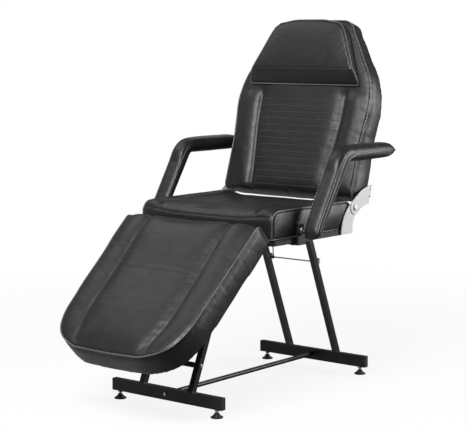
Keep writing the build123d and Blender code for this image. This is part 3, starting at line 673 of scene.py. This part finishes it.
def cover_sink(coords, distance, facing, along, off_crease, crease, sewn_rows, creased=1):
    """How deep a quilted cover dips: at its creases, its rows of stitching and beside its piping."""
    inward = off_crease + crease.slope_at
    soft_valley = crease.fold * valley(off_crease, crease.fold_width)
    soft_valley += crease.slope * valley(inward, crease.slope_width)
    sink = facing * creased * ease(distance, *SEAM_CLEAR) * soft_valley
    sink += facing * ease(-off_crease, *PANEL_EDGE) * sewn_rows * quilt_groove(along)
    drift = ripple(coords, crease.seeds[0], crease.gather_drift)
    gathers = np.sin(along / crease.gather_pitch + PUCKER_DRIFT * drift)
    pucker = crease.pucker * valley(inward, crease.gather_width) * gathers
    sink += facing * creased * pucker * ease(distance, *PUCKER_CLEAR)
    uneven = UNEVEN * ripple(coords, crease.seeds[1], UNEVEN_LENGTH)
    return sink + gutter(distance) - uneven * ease(distance, *FACE_CLEAR) + undercut(distance, facing)


def pressed(along, limit):
    """Flattens what swells past limit, so that two cushions whose ends meet stay apart."""
    swell = np.maximum(along - limit, 0)
    return np.minimum(along, limit) + MEETING_SWELL * np.tanh(swell / SWELL_RANGE)


def inset_line(points, flat_axis, inset):
    """A closed line moved inwards by inset in its own plane, without the loops that form in sharp corners."""
    centre = points.mean(0)
    along = np.roll(points, -2, 0) - np.roll(points, 2, 0)
    axis = np.zeros(3)
    axis[flat_axis] = 1
    inward = unit(np.cross(along, axis))
    inward *= np.sign(((centre - points) * inward).sum(1))[:, None]
    moved = points + inward * inset
    return moved[seam_distance(moved, seam_tree([points])) > LEAST_INSET * inset]


def dust_cover(name, outline, flat_axis, outward, surface, body, place):
    """Thin black cloth stapled over the underside of a board; surface gives its height at each point."""
    edge = resample(inset_line(outline, flat_axis, COVER_INSET), COVER_STEP, closed=True)
    centre = edge.mean(0)
    rings = [centre + (edge - centre) * share for share in np.linspace(1, COVER_MIDDLE, COVER_RINGS)]
    outer, inner = np.vstack(rings[::-1]), np.vstack(rings)
    lift = COVER_THICKNESS * (1 + 0.5 * ripple(outer, COVER_SEED, COVER_WAVE))
    outer[:, flat_axis] = surface(outer) + outward * lift
    inner[:, flat_axis] = surface(inner)
    mesh = mesh_from(name, np.vstack([outer, inner]), ring_faces(2 * COVER_RINGS, len(edge)))
    bm = bmesh.new()
    bm.from_mesh(mesh)
    bmesh.ops.recalc_face_normals(bm, faces=bm.faces)
    finish_piece(new_object(name, fill_mesh(mesh, bm), place), body, DUST_COVER)

    line = resample(inset_line(edge, flat_axis, STAPLE_INSET), STAPLE_PITCH, closed=True)
    along = unit(np.roll(line, -1, 0) - line)
    height = surface(line) + outward * COVER_THICKNESS * STAPLE_LIFT
    crowns = []
    for at, way, level in zip(line, along, height):
        crown = []
        for reach, depth in STAPLE_BENDS:
            point = at + way * reach * STAPLE_HALF
            point[flat_axis] = level + outward * depth * MM
            crown.append(point)
        crowns.append(crown)
    name += "_staples"
    finish_piece(new_object(name, joined_tubes(name, crowns, STAPLE_WIRE), place), body, ZINC)


# --- leg rest

LEG_CORNER = 20 * MM
LEG_CREASE = 172 * MM
LEG_NARROWING, LEG_NARROWS = 22 * MM, (400 * MM, 545 * MM)
LEG_ROWS = [QUILT_PITCH * row for row in range(3, 17)]
LEG_PANEL_START = (50 * MM, 80 * MM)
LEG_SEAM_END = 6 * MM
# the filling: how the face rises between its edges, and the furrow along each crease
LEG_EDGE = 70 * MM
LEG_CROWN = 5 * MM
LEG_KNEE, LEG_KNEE_AT, LEG_KNEE_LENGTH = 9 * MM, 60 * MM, 110 * MM
LEG_FURROW, LEG_FURROW_WIDTH = 5 * MM, 16 * MM
LEG_PIN, LEG_CREASE_START, LEG_REACH = 0.8, 25 * MM, 11 * MM
LEG_COVER = Crease(fold=2.2 * MM, fold_width=5 * MM, slope=1.6 * MM, slope_at=12 * MM, slope_width=16 * MM,
                   pucker=0.045 * MM, gather_pitch=5.2 * MM, gather_width=14 * MM, gather_drift=60 * MM,
                   seeds=(3, 4))


def leg_crease_u(v):
    """Half the width between the two lengthwise creases, at a distance v down the leg rest."""
    return LEG_CREASE - LEG_NARROWING * ease(v, *LEG_NARROWS)


def leg_rest():
    name = "leg_rest_upholstery"
    cushion_low, cushion_high = local_box("leg_rest_cushion", LEG)
    board_low, _ = local_box("leg_rest_board", LEG)
    top = cushion_high.z
    piece = cad_copy(name, "leg_rest_cushion", LEG)
    remesh(piece, VOXEL, 2)
    coords = get_coords(piece.data)
    stretch = (top - board_low.z) / (top - cushion_low.z)
    coords[:, 2] = top - (top - coords[:, 2]) * stretch
    across, along = coords[:, 1] + LEG_CORNER, coords[:, 2] - top + LEG_CORNER
    across, along = round_edge(across, along, LEG_CORNER)
    coords[:, 1], coords[:, 2] = across - LEG_CORNER, along + top - LEG_CORNER

    outline = slice_outline("leg_rest_cushion", LEG, 2, top - SLICE_DEPTH, OUTLINE_STEP)
    side = from_gap([p for p in outline if p[1] < -LEG_CORNER])
    side[:, 2] = top
    half = cushion_high.x

    def corner(sign):
        arc = [(sign * half, -LEG_CORNER + LEG_CORNER * sin(t), top - LEG_CORNER + LEG_CORNER * cos(t))
               for t in np.linspace(0, pi / 2, 9)]
        drop = np.linspace(top - LEG_CORNER, board_low.z + LEG_SEAM_END, 16)
        return arc + [(sign * half, 0, z) for z in drop[1:]]

    seam = seam_round_corners(side, corner)
    tree = seam_tree([seam])

    down = -coords[:, 1]
    upper = ease(coords[:, 2], board_low.z, top)
    edge = ease(seam_distance(coords, tree), 0, LEG_EDGE)
    crown = LEG_CROWN + LEG_KNEE * valley(down - LEG_KNEE_AT, LEG_KNEE_LENGTH)
    furrow = LEG_FURROW * valley(np.abs(coords[:, 0]) - leg_crease_u(down), LEG_FURROW_WIDTH)
    coords[:, 2] += upper ** 3 * edge * (crown - furrow)
    set_coords(piece.data, coords)

    distance = seam_distance(coords, tree)
    sewn = np.maximum(sewn_weight(distance), coords[:, 2] < board_low.z + STAPLED_STRIP)
    off_crease = np.abs(coords[:, 0]) - leg_crease_u(down)
    creased = (np.abs(off_crease) < PINNED_HALF) & (coords[:, 2] > top - 15 * MM)
    inflate(piece, np.maximum(sewn, LEG_PIN * creased * (down > LEG_CREASE_START)), LEG_REACH)

    coords, normals = subdivide(piece)
    down = -coords[:, 1]
    off_crease = np.abs(coords[:, 0]) - leg_crease_u(down)
    distance = seam_distance(coords, tree)
    facing = ease(normals[:, 2], *FACING)
    panel = ease(down, *LEG_PANEL_START)
    panel *= 1 - ease(down, LEG_ROWS[-1] + 6 * MM, LEG_ROWS[-1] + 14 * MM)
    sink = cover_sink(coords, distance, facing, down, off_crease, LEG_COVER, panel)
    coords -= normals * sink[:, None]
    coords[:, 2] = np.maximum(coords[:, 2], board_low.z)
    coords[:, 1] = pressed(coords[:, 1], cushion_high.y)
    set_coords(piece.data, coords)
    finish_piece(piece, "leg_rest", VINYL, ("leg_rest_cushion", "leg_rest_board"))
    add_piping("leg_rest_piping", piece, seam, "leg_rest", LEG, rounds=60)
    add_quilting("leg_rest_stitching", piece, LEG_ROWS, leg_crease_u, lambda u, down: (u, -down, top),
                 "leg_rest", LEG, (2, 1))
    dust_cover("leg_rest_dust_cover", outline, 2, -1, lambda points: np.full(len(points), board_low.z),
               "leg_rest", LEG)


# --- backrest

BACK_CORNER = 24 * MM
BACK_CREASE, BACK_WIDENING, BACK_WIDE_AT = 158 * MM, 24 * MM, 320 * MM
BACK_BOARD = 12 * MM
BACK_SEAM_END = 8 * MM
# the filling: how the face rises between its edges, the side bolsters and the furrow along each crease
BACK_EDGE = 60 * MM
BACK_CROWN = 2 * MM
BACK_BOLSTER, BACK_BOLSTER_AT, BACK_BOLSTER_WIDTH = 9 * MM, 36 * MM, 34 * MM
BACK_FURROW, BACK_FURROW_WIDTH = 5 * MM, 12 * MM
BOLSTERS_END, CREASES_END = (330 * MM, 400 * MM), (350 * MM, 380 * MM)
BACK_PIN, BACK_CREASE_START, BACK_CREASE_END, BACK_REACH = 0.9, 20 * MM, 360 * MM, 9 * MM
BACK_COVER = Crease(fold=2.2 * MM, fold_width=6 * MM, slope=2.2 * MM, slope_at=14 * MM, slope_width=18 * MM,
                    pucker=0.07 * MM, gather_pitch=4.6 * MM, gather_width=16 * MM, gather_drift=50 * MM,
                    seeds=(8, 9))
BACK_PANEL_START = (12 * MM, 30 * MM)
BACK_ROWS = np.arange(1, 15) * QUILT_PITCH


def back_crease_u(height):
    """Half the width between the two lengthwise creases, at a height above the lower edge of the backrest."""
    return BACK_CREASE + BACK_WIDENING * ease(height, 0, BACK_WIDE_AT)


def backrest():
    name = "back_upholstery"
    low, high = local_box("back_cushion", BACK)
    board = cad_coords("back_board", BACK)
    face, bottom = low.y, low.z
    piece = cad_copy(name, "back_cushion", BACK)
    remesh(piece, VOXEL, 2)
    coords = get_coords(piece.data)

    # the rear face of the board leans a little against the front face
    rear_low = board[board[:, 2] < bottom + 20 * MM][:, 1].max()
    rear_high = board[board[:, 2] > high.z - 20 * MM][:, 1].max()
    thickness = np.interp(coords[:, 2], (bottom, high.z), (rear_low - face, rear_high - face))
    coords[:, 1] = face + (coords[:, 1] - face) * thickness / (thickness - BACK_BOARD)
    depth = coords[:, 1] - face
    across, along = BACK_CORNER - depth, BACK_CORNER - (coords[:, 2] - bottom)
    across, along = round_edge(across, along, BACK_CORNER)
    coords[:, 1], coords[:, 2] = face + BACK_CORNER - across, bottom + BACK_CORNER - along

    outline = slice_outline("back_cushion", BACK, 1, face + SLICE_DEPTH, OUTLINE_STEP)
    side = from_gap([p for p in outline if p[2] > bottom + BACK_CORNER])
    side[:, 1] = face
    half = np.abs(side[0, 0])
    centre_y, centre_z = face + BACK_CORNER, bottom + BACK_CORNER

    def corner(sign):
        arc = [(sign * half, centre_y - BACK_CORNER * cos(t), centre_z - BACK_CORNER * sin(t))
               for t in np.linspace(0, pi / 2, 10)]
        run = np.linspace(centre_y, rear_low - BACK_SEAM_END, 14)
        return arc + [(sign * half, y, bottom) for y in run[1:]]

    seam = seam_round_corners(side, corner)
    tree = seam_tree([seam])

    height = coords[:, 2] - bottom
    depth = coords[:, 1] - face
    front = 1 - ease(depth, 0, thickness)
    edge = ease(seam_distance(coords, tree), 0, BACK_EDGE)
    off_crease = np.abs(coords[:, 0]) - back_crease_u(height)
    below_pillow = 1 - ease(height, *BOLSTERS_END)
    bolster = BACK_BOLSTER * valley(off_crease - BACK_BOLSTER_AT, BACK_BOLSTER_WIDTH)
    furrow = BACK_FURROW * valley(off_crease, BACK_FURROW_WIDTH)
    coords[:, 1] -= front ** 3 * edge * (BACK_CROWN + below_pillow * (bolster - furrow))
    set_coords(piece.data, coords)

    distance = seam_distance(coords, tree)
    rear = coords[:, 1] > face + thickness - STAPLED_STRIP
    sewn = np.maximum(sewn_weight(distance), rear)
    creased = (np.abs(off_crease) < PINNED_HALF) & (depth < 12 * MM) & (height < BACK_CREASE_END)
    inflate(piece, np.maximum(sewn, BACK_PIN * creased * (height > BACK_CREASE_START)), BACK_REACH)

    coords, normals = subdivide(piece)
    height = coords[:, 2] - bottom
    off_crease = np.abs(coords[:, 0]) - back_crease_u(height)
    distance = seam_distance(coords, tree)
    facing = ease(-normals[:, 1], *FACING)
    low_part = 1 - ease(height, *CREASES_END)
    panel = ease(height, *BACK_PANEL_START) * low_part
    sink = cover_sink(coords, distance, facing, height, off_crease, BACK_COVER, panel, low_part)
    coords -= normals * sink[:, None]

    def rear_face(points):
        return np.interp(points[:, 2], (bottom, high.z), (rear_low, rear_high))

    coords[:, 1] = np.minimum(coords[:, 1], rear_face(coords))
    set_coords(piece.data, coords)
    finish_piece(piece, "backrest", VINYL, ("back_cushion", "back_board"))
    add_piping("back_piping", piece, seam, "backrest", BACK, rounds=60)
    add_quilting("back_stitching", piece, BACK_ROWS, back_crease_u, lambda u, up: (u, face, bottom + up),
                 "backrest", BACK, (1, -1))
    dust_cover("back_dust_cover", outline, 1, 1, rear_face, "backrest", BACK)


# --- seat

SEAT_CREASE = 205 * MM
SEAT_OPEN_ABOVE = 3 * MM
SEAT_EDGE = 40 * MM
# the filling: a dish that deepens towards the back, the side bolsters and the furrow along each crease
SEAT_DISH, SEAT_DISH_GROWTH, SEAT_DISH_SPAN = 3, 8, (0.05, 0.9)
SEAT_BOLSTER, SEAT_BOLSTER_AT, SEAT_BOLSTER_WIDTH = 6 * MM, 38 * MM, 28 * MM
SEAT_FURROW, SEAT_FURROW_WIDTH = 4 * MM, 10 * MM
SEAT_REAR_DROP, SEAT_REAR_SPAN = 3 * MM, (0.8, 1)
SEAT_PIN, SEAT_REACH = 0.9, 8 * MM
SEAT_FOLD, SEAT_FOLD_WIDTH, FRONT_FOLD_WIDTH = 2.5 * MM, 4.5 * MM, 4 * MM
# the crease across the front face
FRONT_CREASE_BELOW, FRONT_CREASE_RISE, FRONT_CREASE_SPAN = 31 * MM, 10 * MM, (120 * MM, 270 * MM)
FRONT_GATHERS = 0.5 * MM


def front_crease_z(coords, top):
    """The height of the crease across the seat's front face, which rises towards both ends."""
    toward_ends = ease(np.abs(coords[:, 0]), *FRONT_CREASE_SPAN)
    return top - FRONT_CREASE_BELOW + FRONT_CREASE_RISE * toward_ends


def seat():
    name = "seat_upholstery"
    low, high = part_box("seat_cushion")
    piece = cad_copy(name, "seat_cushion", SEAT)
    remesh(piece, VOXEL, 2)
    coords = get_coords(piece.data)

    profile = slice_outline("seat_cushion", SEAT, 0, 0, OUTLINE_STEP)
    open_side = from_gap([p for p in profile if p[2] > low.z + SEAT_OPEN_ABOVE])
    seams = []
    for sign in (1, -1):
        line = open_side.copy()
        line[:, 0] = sign * high.x
        seams.append(resample(line, OUTLINE_STEP))
    tree = seam_tree(seams)

    length = high.y - low.y
    back_share = (coords[:, 1] - low.y) / length
    upper = ease(coords[:, 2], low.z + 30 * MM, high.z - 5 * MM)
    off_crease = np.abs(coords[:, 0]) - SEAT_CREASE
    inner = ease(-off_crease, -10 * MM, 60 * MM)
    dish = (SEAT_DISH + SEAT_DISH_GROWTH * ease(back_share, *SEAT_DISH_SPAN)) * MM * inner
    bolster = SEAT_BOLSTER * valley(off_crease - SEAT_BOLSTER_AT, SEAT_BOLSTER_WIDTH)
    bolster -= SEAT_FURROW * valley(off_crease, SEAT_FURROW_WIDTH)
    edge = ease(seam_distance(coords, tree), 0, SEAT_EDGE)
    coords[:, 2] += upper * edge * (bolster - dish)
    coords[:, 2] -= upper * edge * SEAT_REAR_DROP * inner * ease(back_share, *SEAT_REAR_SPAN)
    set_coords(piece.data, coords)

    front_crease = front_crease_z(coords, high.z)
    on_front = coords[:, 1] < low.y + 12 * MM
    distance = seam_distance(coords, tree)
    sewn = np.maximum(sewn_weight(distance), coords[:, 2] < low.z + STAPLED_STRIP)
    creased = (np.abs(off_crease) < 4 * MM) & (coords[:, 2] > high.z - 25 * MM)
    creased |= (np.abs(coords[:, 2] - front_crease) < 4 * MM) & on_front
    inflate(piece, np.maximum(sewn, SEAT_PIN * creased), SEAT_REACH)

    coords, normals = subdivide(piece)
    off_crease = np.abs(coords[:, 0]) - SEAT_CREASE
    distance = seam_distance(coords, tree)
    front_crease = front_crease_z(coords, high.z)
    top_face = ease(normals[:, 2], *FACING)
    front_face = ease(-normals[:, 1], *FACING)
    clear = ease(distance, 6 * MM, 25 * MM)
    sink = clear * top_face * SEAT_FOLD * valley(off_crease, SEAT_FOLD_WIDTH)
    sink += clear * front_face * SEAT_FOLD * valley(coords[:, 2] - front_crease, FRONT_FOLD_WIDTH)
    gathers = np.sin(coords[:, 0] / (7 * MM) + PUCKER_DRIFT * ripple(coords, 12, 70 * MM))
    sink += clear * front_face * FRONT_GATHERS * gathers * valley(coords[:, 2] - front_crease, 12 * MM)
    sink += gutter(distance) - 0.7 * MM * ripple(coords, 13, 110 * MM) * clear
    coords -= normals * sink[:, None]
    coords[:, 2] = np.maximum(coords[:, 2], low.z)
    coords[:, 1] = -pressed(-coords[:, 1], -low.y)
    set_coords(piece.data, coords)
    finish_piece(piece, "base", VINYL, ("seat_cushion",))
    for label, seam in zip(("left", "right"), seams):
        add_piping(f"seat_{label}_piping", piece, seam, "base", SEAT, rounds=30)
    rim = [(sx * high.x, y, low.z + 2 * MM) for sx, y in
           ((1, low.y + 2 * MM), (1, high.y - 2 * MM), (-1, high.y - 2 * MM), (-1, low.y + 2 * MM))]
    loop = resample(rim, 5 * MM, closed=True)
    add_piping("seat_lower_piping", piece, loop, "base", SEAT, 2 * MM, closed=True)


# --- head pillow

PILLOW_ROUNDING = 48 * MM
PILLOW_FLARE = 9 * MM
PILLOW_BAND = 50 * MM
PILLOW_BOW = 3 * MM
PILLOW_DROP = 15 * MM
PILLOW_TOP_HALF = 140 * MM
PILLOW_VOXEL = 5 * MM
PILLOW_SLICE = 5 * MM
PILLOW_PIPING = 2.3 * MM
PILLOW_PIN, PILLOW_REACH = 0.85, 7 * MM
PILLOW_FOLD, PILLOW_FOLD_WIDTH = 1.2 * MM, 3 * MM


def pillow():
    """A wedge with a padded face, a lower band that folds back, and piping round the joint of both."""
    name = "pillow_upholstery"
    low, high = local_box("head_pillow", BACK)
    piece = cad_copy(name, "head_pillow", BACK)
    remesh(piece, PILLOW_VOXEL, 3)
    front, rear = low.y, high.y
    fold = low.z + PILLOW_BAND
    top_half = np.interp(PILLOW_ROUNDING, (0, high.z - fold), (PILLOW_TOP_HALF, high.x))
    corner_x, corner_z = top_half - PILLOW_ROUNDING, high.z - PILLOW_ROUNDING

    def shaped(points):
        """Rounds the upper corners, bows the top edge and widens the lower end a little."""
        points = points.copy()
        sign = np.sign(points[:, 0])
        across, up = round_edge(np.abs(points[:, 0]) - corner_x, points[:, 2] - corner_z, PILLOW_ROUNDING)
        points[:, 0] = sign * (across + corner_x)
        near_top = ease(points[:, 2], high.z - 60 * MM, high.z)
        from_middle = ease(np.abs(points[:, 0]), 0.3 * top_half, 0.95 * top_half)
        points[:, 2] = up + corner_z + near_top * (PILLOW_BOW - PILLOW_DROP * from_middle)
        points[:, 0] *= 1 + PILLOW_FLARE / high.x * (1 - ease(points[:, 2], low.z, high.z))
        return points

    set_coords(piece.data, shaped(get_coords(piece.data)))
    rim = shaped(slice_outline("head_pillow", BACK, 1, rear - PILLOW_SLICE, OUTLINE_STEP))
    rim[:, 1] = np.interp(rim[:, 2], (low.z, fold, high.z), (rear - 12 * MM, front + 5 * MM, front + 5 * MM))
    seam = resample(rim, OUTLINE_STEP, closed=True)
    tree = seam_tree([seam])

    coords = get_coords(piece.data)
    distance = seam_distance(coords, tree)
    sewn = np.maximum(sewn_weight(distance), coords[:, 1] > rear - 4 * MM)
    creased = (np.abs(coords[:, 2] - fold) < 4 * MM) & (coords[:, 1] < front + 8 * MM)
    inflate(piece, np.maximum(sewn, PILLOW_PIN * creased), PILLOW_REACH)
    coords, normals = subdivide(piece)
    distance = seam_distance(coords, tree)
    sink = gutter(distance) - 0.6 * MM * ripple(coords, 21, 100 * MM) * ease(distance, *FACE_CLEAR)
    on_face = (coords[:, 1] < (front + rear) / 2) * ease(distance, 8 * MM, 25 * MM)
    sink += PILLOW_FOLD * valley(coords[:, 2] - fold - PILLOW_FOLD_WIDTH, PILLOW_FOLD_WIDTH) * on_face
    coords -= normals * sink[:, None]
    coords[:, 1] = np.minimum(coords[:, 1], rear)
    set_coords(piece.data, coords)
    finish_piece(piece, "pillow", VINYL, ("head_pillow",))
    add_piping("pillow_piping", piece, seam, "pillow", BACK, PILLOW_PIPING, closed=True)


# --- armrests

ARM_STEPS = 150
ARM_SIDES = 48
ARM_CROWN = 8 * MM
ARM_CORDS = {"outer_piping": 2.2 * MM, "front_outer_seam": 1.7 * MM}
ARM_TIP = 60 * MM
# how much thicker the padded arm is than its CAD side view
ARM_FULLNESS = 1.1
ARM_VOXEL = 4 * MM
ARM_REACH = 3.5 * MM
ARM_THREAD = 1.1 * MM
# powers that square off the arm's section: across, in its upper half and in its lower half
ARM_ACROSS, ARM_UPPER, ARM_LOWER = 0.6, 0.75, 0.45


def even_chain(points, count):
    """The same open line with count evenly spaced points."""
    lengths = line_lengths(points)
    return points_along(points, lengths, np.linspace(0, lengths[-1], count))


def soften(line, rounds):
    """Rounds off a line's corners; its ends stay."""
    line = line.copy()
    for _ in range(rounds):
        line[1:-1] = (line[:-2] + 2 * line[1:-1] + line[2:]) / 4
    return line


def arm_chains(node):
    """The upper and the lower line of an armrest's side view, from the foot to the tip."""
    low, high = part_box(node)
    outline = slice_outline(node, SEAT, 0, (low.x + high.x) / 2, 2 * MM)
    tip = int(np.argmax(outline[:, 1]))
    foot = int(np.argmin(outline[:, 2] + 0.2 * outline[:, 1]))
    count = len(outline)
    one = [outline[(foot + i) % count] for i in range((tip - foot) % count + 1)]
    other = [outline[(foot - i) % count] for i in range((foot - tip) % count + 1)]
    chains = [np.array(one), np.array(other)]
    chains.sort(key=lambda chain: -chain[:, 2].mean())
    upper, lower = [even_chain(chain, ARM_STEPS) for chain in chains]
    return soften(upper, 60), soften(lower, 12)


def armrest(side):
    """The padded arm: a rounded bar that sweeps up from its foot, bends and ends in a leaf-shaped tip."""
    node = f"{side}_arm_pad"
    name = f"{side}_arm_upholstery"
    low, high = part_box(node)
    middle, half = (low.x + high.x) / 2, (high.x - low.x) / 2
    upper, lower = arm_chains(node)
    centre, reach = (upper + lower) / 2, ARM_FULLNESS * (upper - lower) / 2
    upper, lower = centre + reach, centre - reach
    from_tip = np.clip((centre[-1, 1] - centre[:, 1]) / ARM_TIP, 0, 1)
    on_pad = ease(centre[:, 2], high.z - 90 * MM, high.z - 50 * MM)
    leaf = np.sqrt(np.maximum(0.02, 1 - (1 - from_tip) ** 2.2))
    slim = 1 - on_pad * (1 - leaf)
    foot = np.minimum(1, (np.arange(1, ARM_STEPS + 1) / 9) ** 0.5)
    points = []
    for i in range(1, ARM_STEPS - 1):
        up = reach[i] / np.linalg.norm(reach[i])
        for k in range(ARM_SIDES):
            angle = 2 * pi * k / ARM_SIDES
            c, s = cos(angle), sin(angle)
            across = np.sign(c) * abs(c) ** ARM_ACROSS * slim[i] * foot[i]
            along = np.sign(s) * abs(s) ** (ARM_UPPER if s > 0 else ARM_LOWER) * slim[i] ** 0.7 * foot[i]
            crown = up * ARM_CROWN * max(0, s) ** 2 * on_pad[i] * slim[i]
            point = centre[i] + reach[i] * along + crown
            points.append((middle + half * across, point[1], point[2]))
    piece = new_object(name, mesh_from(name, points, ring_faces(ARM_STEPS - 2, ARM_SIDES)))
    remesh(piece, ARM_VOXEL, 2)
    return piece, (upper, lower, middle, half * slim)


def arm_seams(chains, sign):
    """The lines of an arm's cords: one along its outer side and one along each edge of its front."""
    upper, lower, middle, width = chains
    index = np.arange(6, ARM_STEPS - 3)
    pad_share = ease(index / ARM_STEPS, 0.42, 0.6)[:, None]
    lines = {}
    for label, share in (("outer_piping", 0.04 + 0.5 * pad_share), ("outer_seam", 0.04 + 0.38 * pad_share)):
        line = lower[index] + (upper[index] - lower[index]) * share
        line[:, 0] = middle + sign * width[index]
        lines[label] = line if label == "outer_piping" else line[len(line) // 2:]
    stop = int(ARM_STEPS * 0.5)
    for label, outward in (("front_outer_seam", sign), ("front_inner_seam", -sign)):
        line = upper[6:stop] + (lower[6:stop] - upper[6:stop]) * 0.12
        line[:, 0] = middle + outward * width[6:stop] * 0.92
        lines[label] = line
    return {label: resample(line, OUTLINE_STEP) for label, line in lines.items()}


def armrests():
    for side, sign in (("left", 1), ("right", -1)):
        piece, chains = armrest(side)
        seams = arm_seams(chains, sign)
        tree = seam_tree(list(seams.values()))
        distance = seam_distance(get_coords(piece.data), tree)
        inflate(piece, 1 - ease(distance, 3 * MM, 8 * MM), ARM_REACH)
        coords, normals = subdivide(piece)
        distance = seam_distance(coords, tree)
        sink = 0.8 * MM * valley(distance - 4 * MM, 3 * MM)
        sink -= 0.5 * MM * ripple(coords, 31, 70 * MM) * ease(distance, 5 * MM, 20 * MM)
        coords -= normals * sink[:, None]
        set_coords(piece.data, coords)
        finish_piece(piece, "base", VINYL, (f"{side}_arm_pad",))
        for label, seam in seams.items():
            radius = ARM_CORDS.get(label, ARM_THREAD)
            add_piping(f"{side}_arm_{label}", piece, seam, "base", SEAT, radius)


# --- studio

CAMERA_AZIMUTH = radians(38.86)
CAMERA_PITCH = radians(6.75)
CAMERA_PLACE = (3.15338, -3.86434, 1.18949)
CAMERA_LENS = 115.94
CAMERA_SENSOR = 36
FLOOR_HALF = 9
FLOOR_FADE = (0.8, 3.2)
FLOOR_SHARE = 0.13
# where the surroundings are bright: direction, where the glow starts (cosine), strength
GLOWS = (((-0.55, -0.35, 0.75), -0.5, 0.23), ((-0.75, 0.0, -0.66), 0.5, 0.4))
LIGHTS_AIM = (0, 0, 0.6)
# name, place, size in metres, power in watts
LIGHTS = (
    ("key_light", (0.7, -2.8, 3.2), 1.6, 150),
    ("side_light", (3.0, 2.6, 1.5), 2.2, 120),
    ("top_light", (-1.7, -0.3, 2.7), 1.4, 9),
    ("back_light", (-1.6, 3.2, 3.0), 1.6, 10),
)


def studio():
    scene = bpy.context.scene
    scene.view_settings.view_transform = "Standard"
    level = cad_box[0].z
    corners = [(x * FLOOR_HALF, y * FLOOR_HALF, level) for x, y in ((-1, -1), (1, -1), (1, 1), (-1, 1))]
    floor = new_object("floor", mesh_from("floor", corners, [(0, 1, 2, 3)]))
    material, tree, shader, position = node_material("studio_floor", (0.95, 0.95, 0.95), 0.8)
    join = tree.links.new
    clear = add_node(tree, "BsdfTransparent")
    blend = add_node(tree, "MixShader")
    reach = add_node(tree, "VectorMath")
    reach.operation = "LENGTH"
    join(position, reach.inputs[0])
    near, far = FLOOR_FADE
    fade = add_node(tree, "MapRange", From_Min=near, From_Max=far, To_Min=FLOOR_SHARE, To_Max=0.0)
    fade.interpolation_type = "SMOOTHSTEP"
    join(reach.outputs["Value"], fade.inputs["Value"])
    join(fade.outputs["Result"], blend.inputs["Fac"])
    join(clear.outputs["BSDF"], blend.inputs[1])
    join(shader.outputs["BSDF"], blend.inputs[2])
    join(blend.outputs["Shader"], tree.nodes["Material Output"].inputs["Surface"])
    floor.data.materials.append(material)

    world = bpy.data.worlds.new("studio")
    scene.world = world
    world.use_nodes = True
    tree, join = world.node_tree, world.node_tree.links.new
    background = tree.nodes["Background"]
    background.inputs["Color"].default_value = (1, 1, 1, 1)
    direction = add_node(tree, "TexCoord").outputs["Generated"]
    total = add_node(tree, "Math")
    for index, (aim, start, strength) in enumerate(GLOWS):
        toward = add_node(tree, "VectorMath")
        toward.operation = "DOT_PRODUCT"
        toward.inputs[1].default_value = Vector(aim).normalized()
        join(direction, toward.inputs[0])
        glow = add_node(tree, "MapRange", From_Min=start, From_Max=1.0, To_Min=0.0, To_Max=strength)
        join(toward.outputs["Value"], glow.inputs["Value"])
        join(glow.outputs["Result"], total.inputs[index])
    seen = add_node(tree, "LightPath").outputs["Is Camera Ray"]
    pick = add_node(tree, "Mix", B=1.0)
    join(seen, pick.inputs["Factor"])
    join(total.outputs["Value"], pick.inputs["A"])
    join(pick.outputs["Result"], background.inputs["Strength"])

    for name, place, size, power in LIGHTS:
        data = bpy.data.lights.new(name, "AREA")
        data.size = size
        data.energy = power
        light = new_object(name, data)
        light.location = place
        light.rotation_euler = (Vector(place) - Vector(LIGHTS_AIM)).to_track_quat("Z", "Y").to_euler()

    data = bpy.data.cameras.new("camera")
    data.sensor_width = CAMERA_SENSOR
    data.lens = CAMERA_LENS
    camera = new_object("camera", data)
    back = Vector((sin(CAMERA_AZIMUTH) * cos(CAMERA_PITCH), -cos(CAMERA_AZIMUTH) * cos(CAMERA_PITCH),
                   sin(CAMERA_PITCH)))
    camera.location = CAMERA_PLACE
    camera.rotation_mode = "QUATERNION"
    camera.rotation_quaternion = back.to_track_quat("Z", "Y")
    scene.camera = camera


# --- everything

studio()
dress_cad_nodes()
leg_rest()
backrest()
seat()
pillow()
armrests()
settle_pieces()
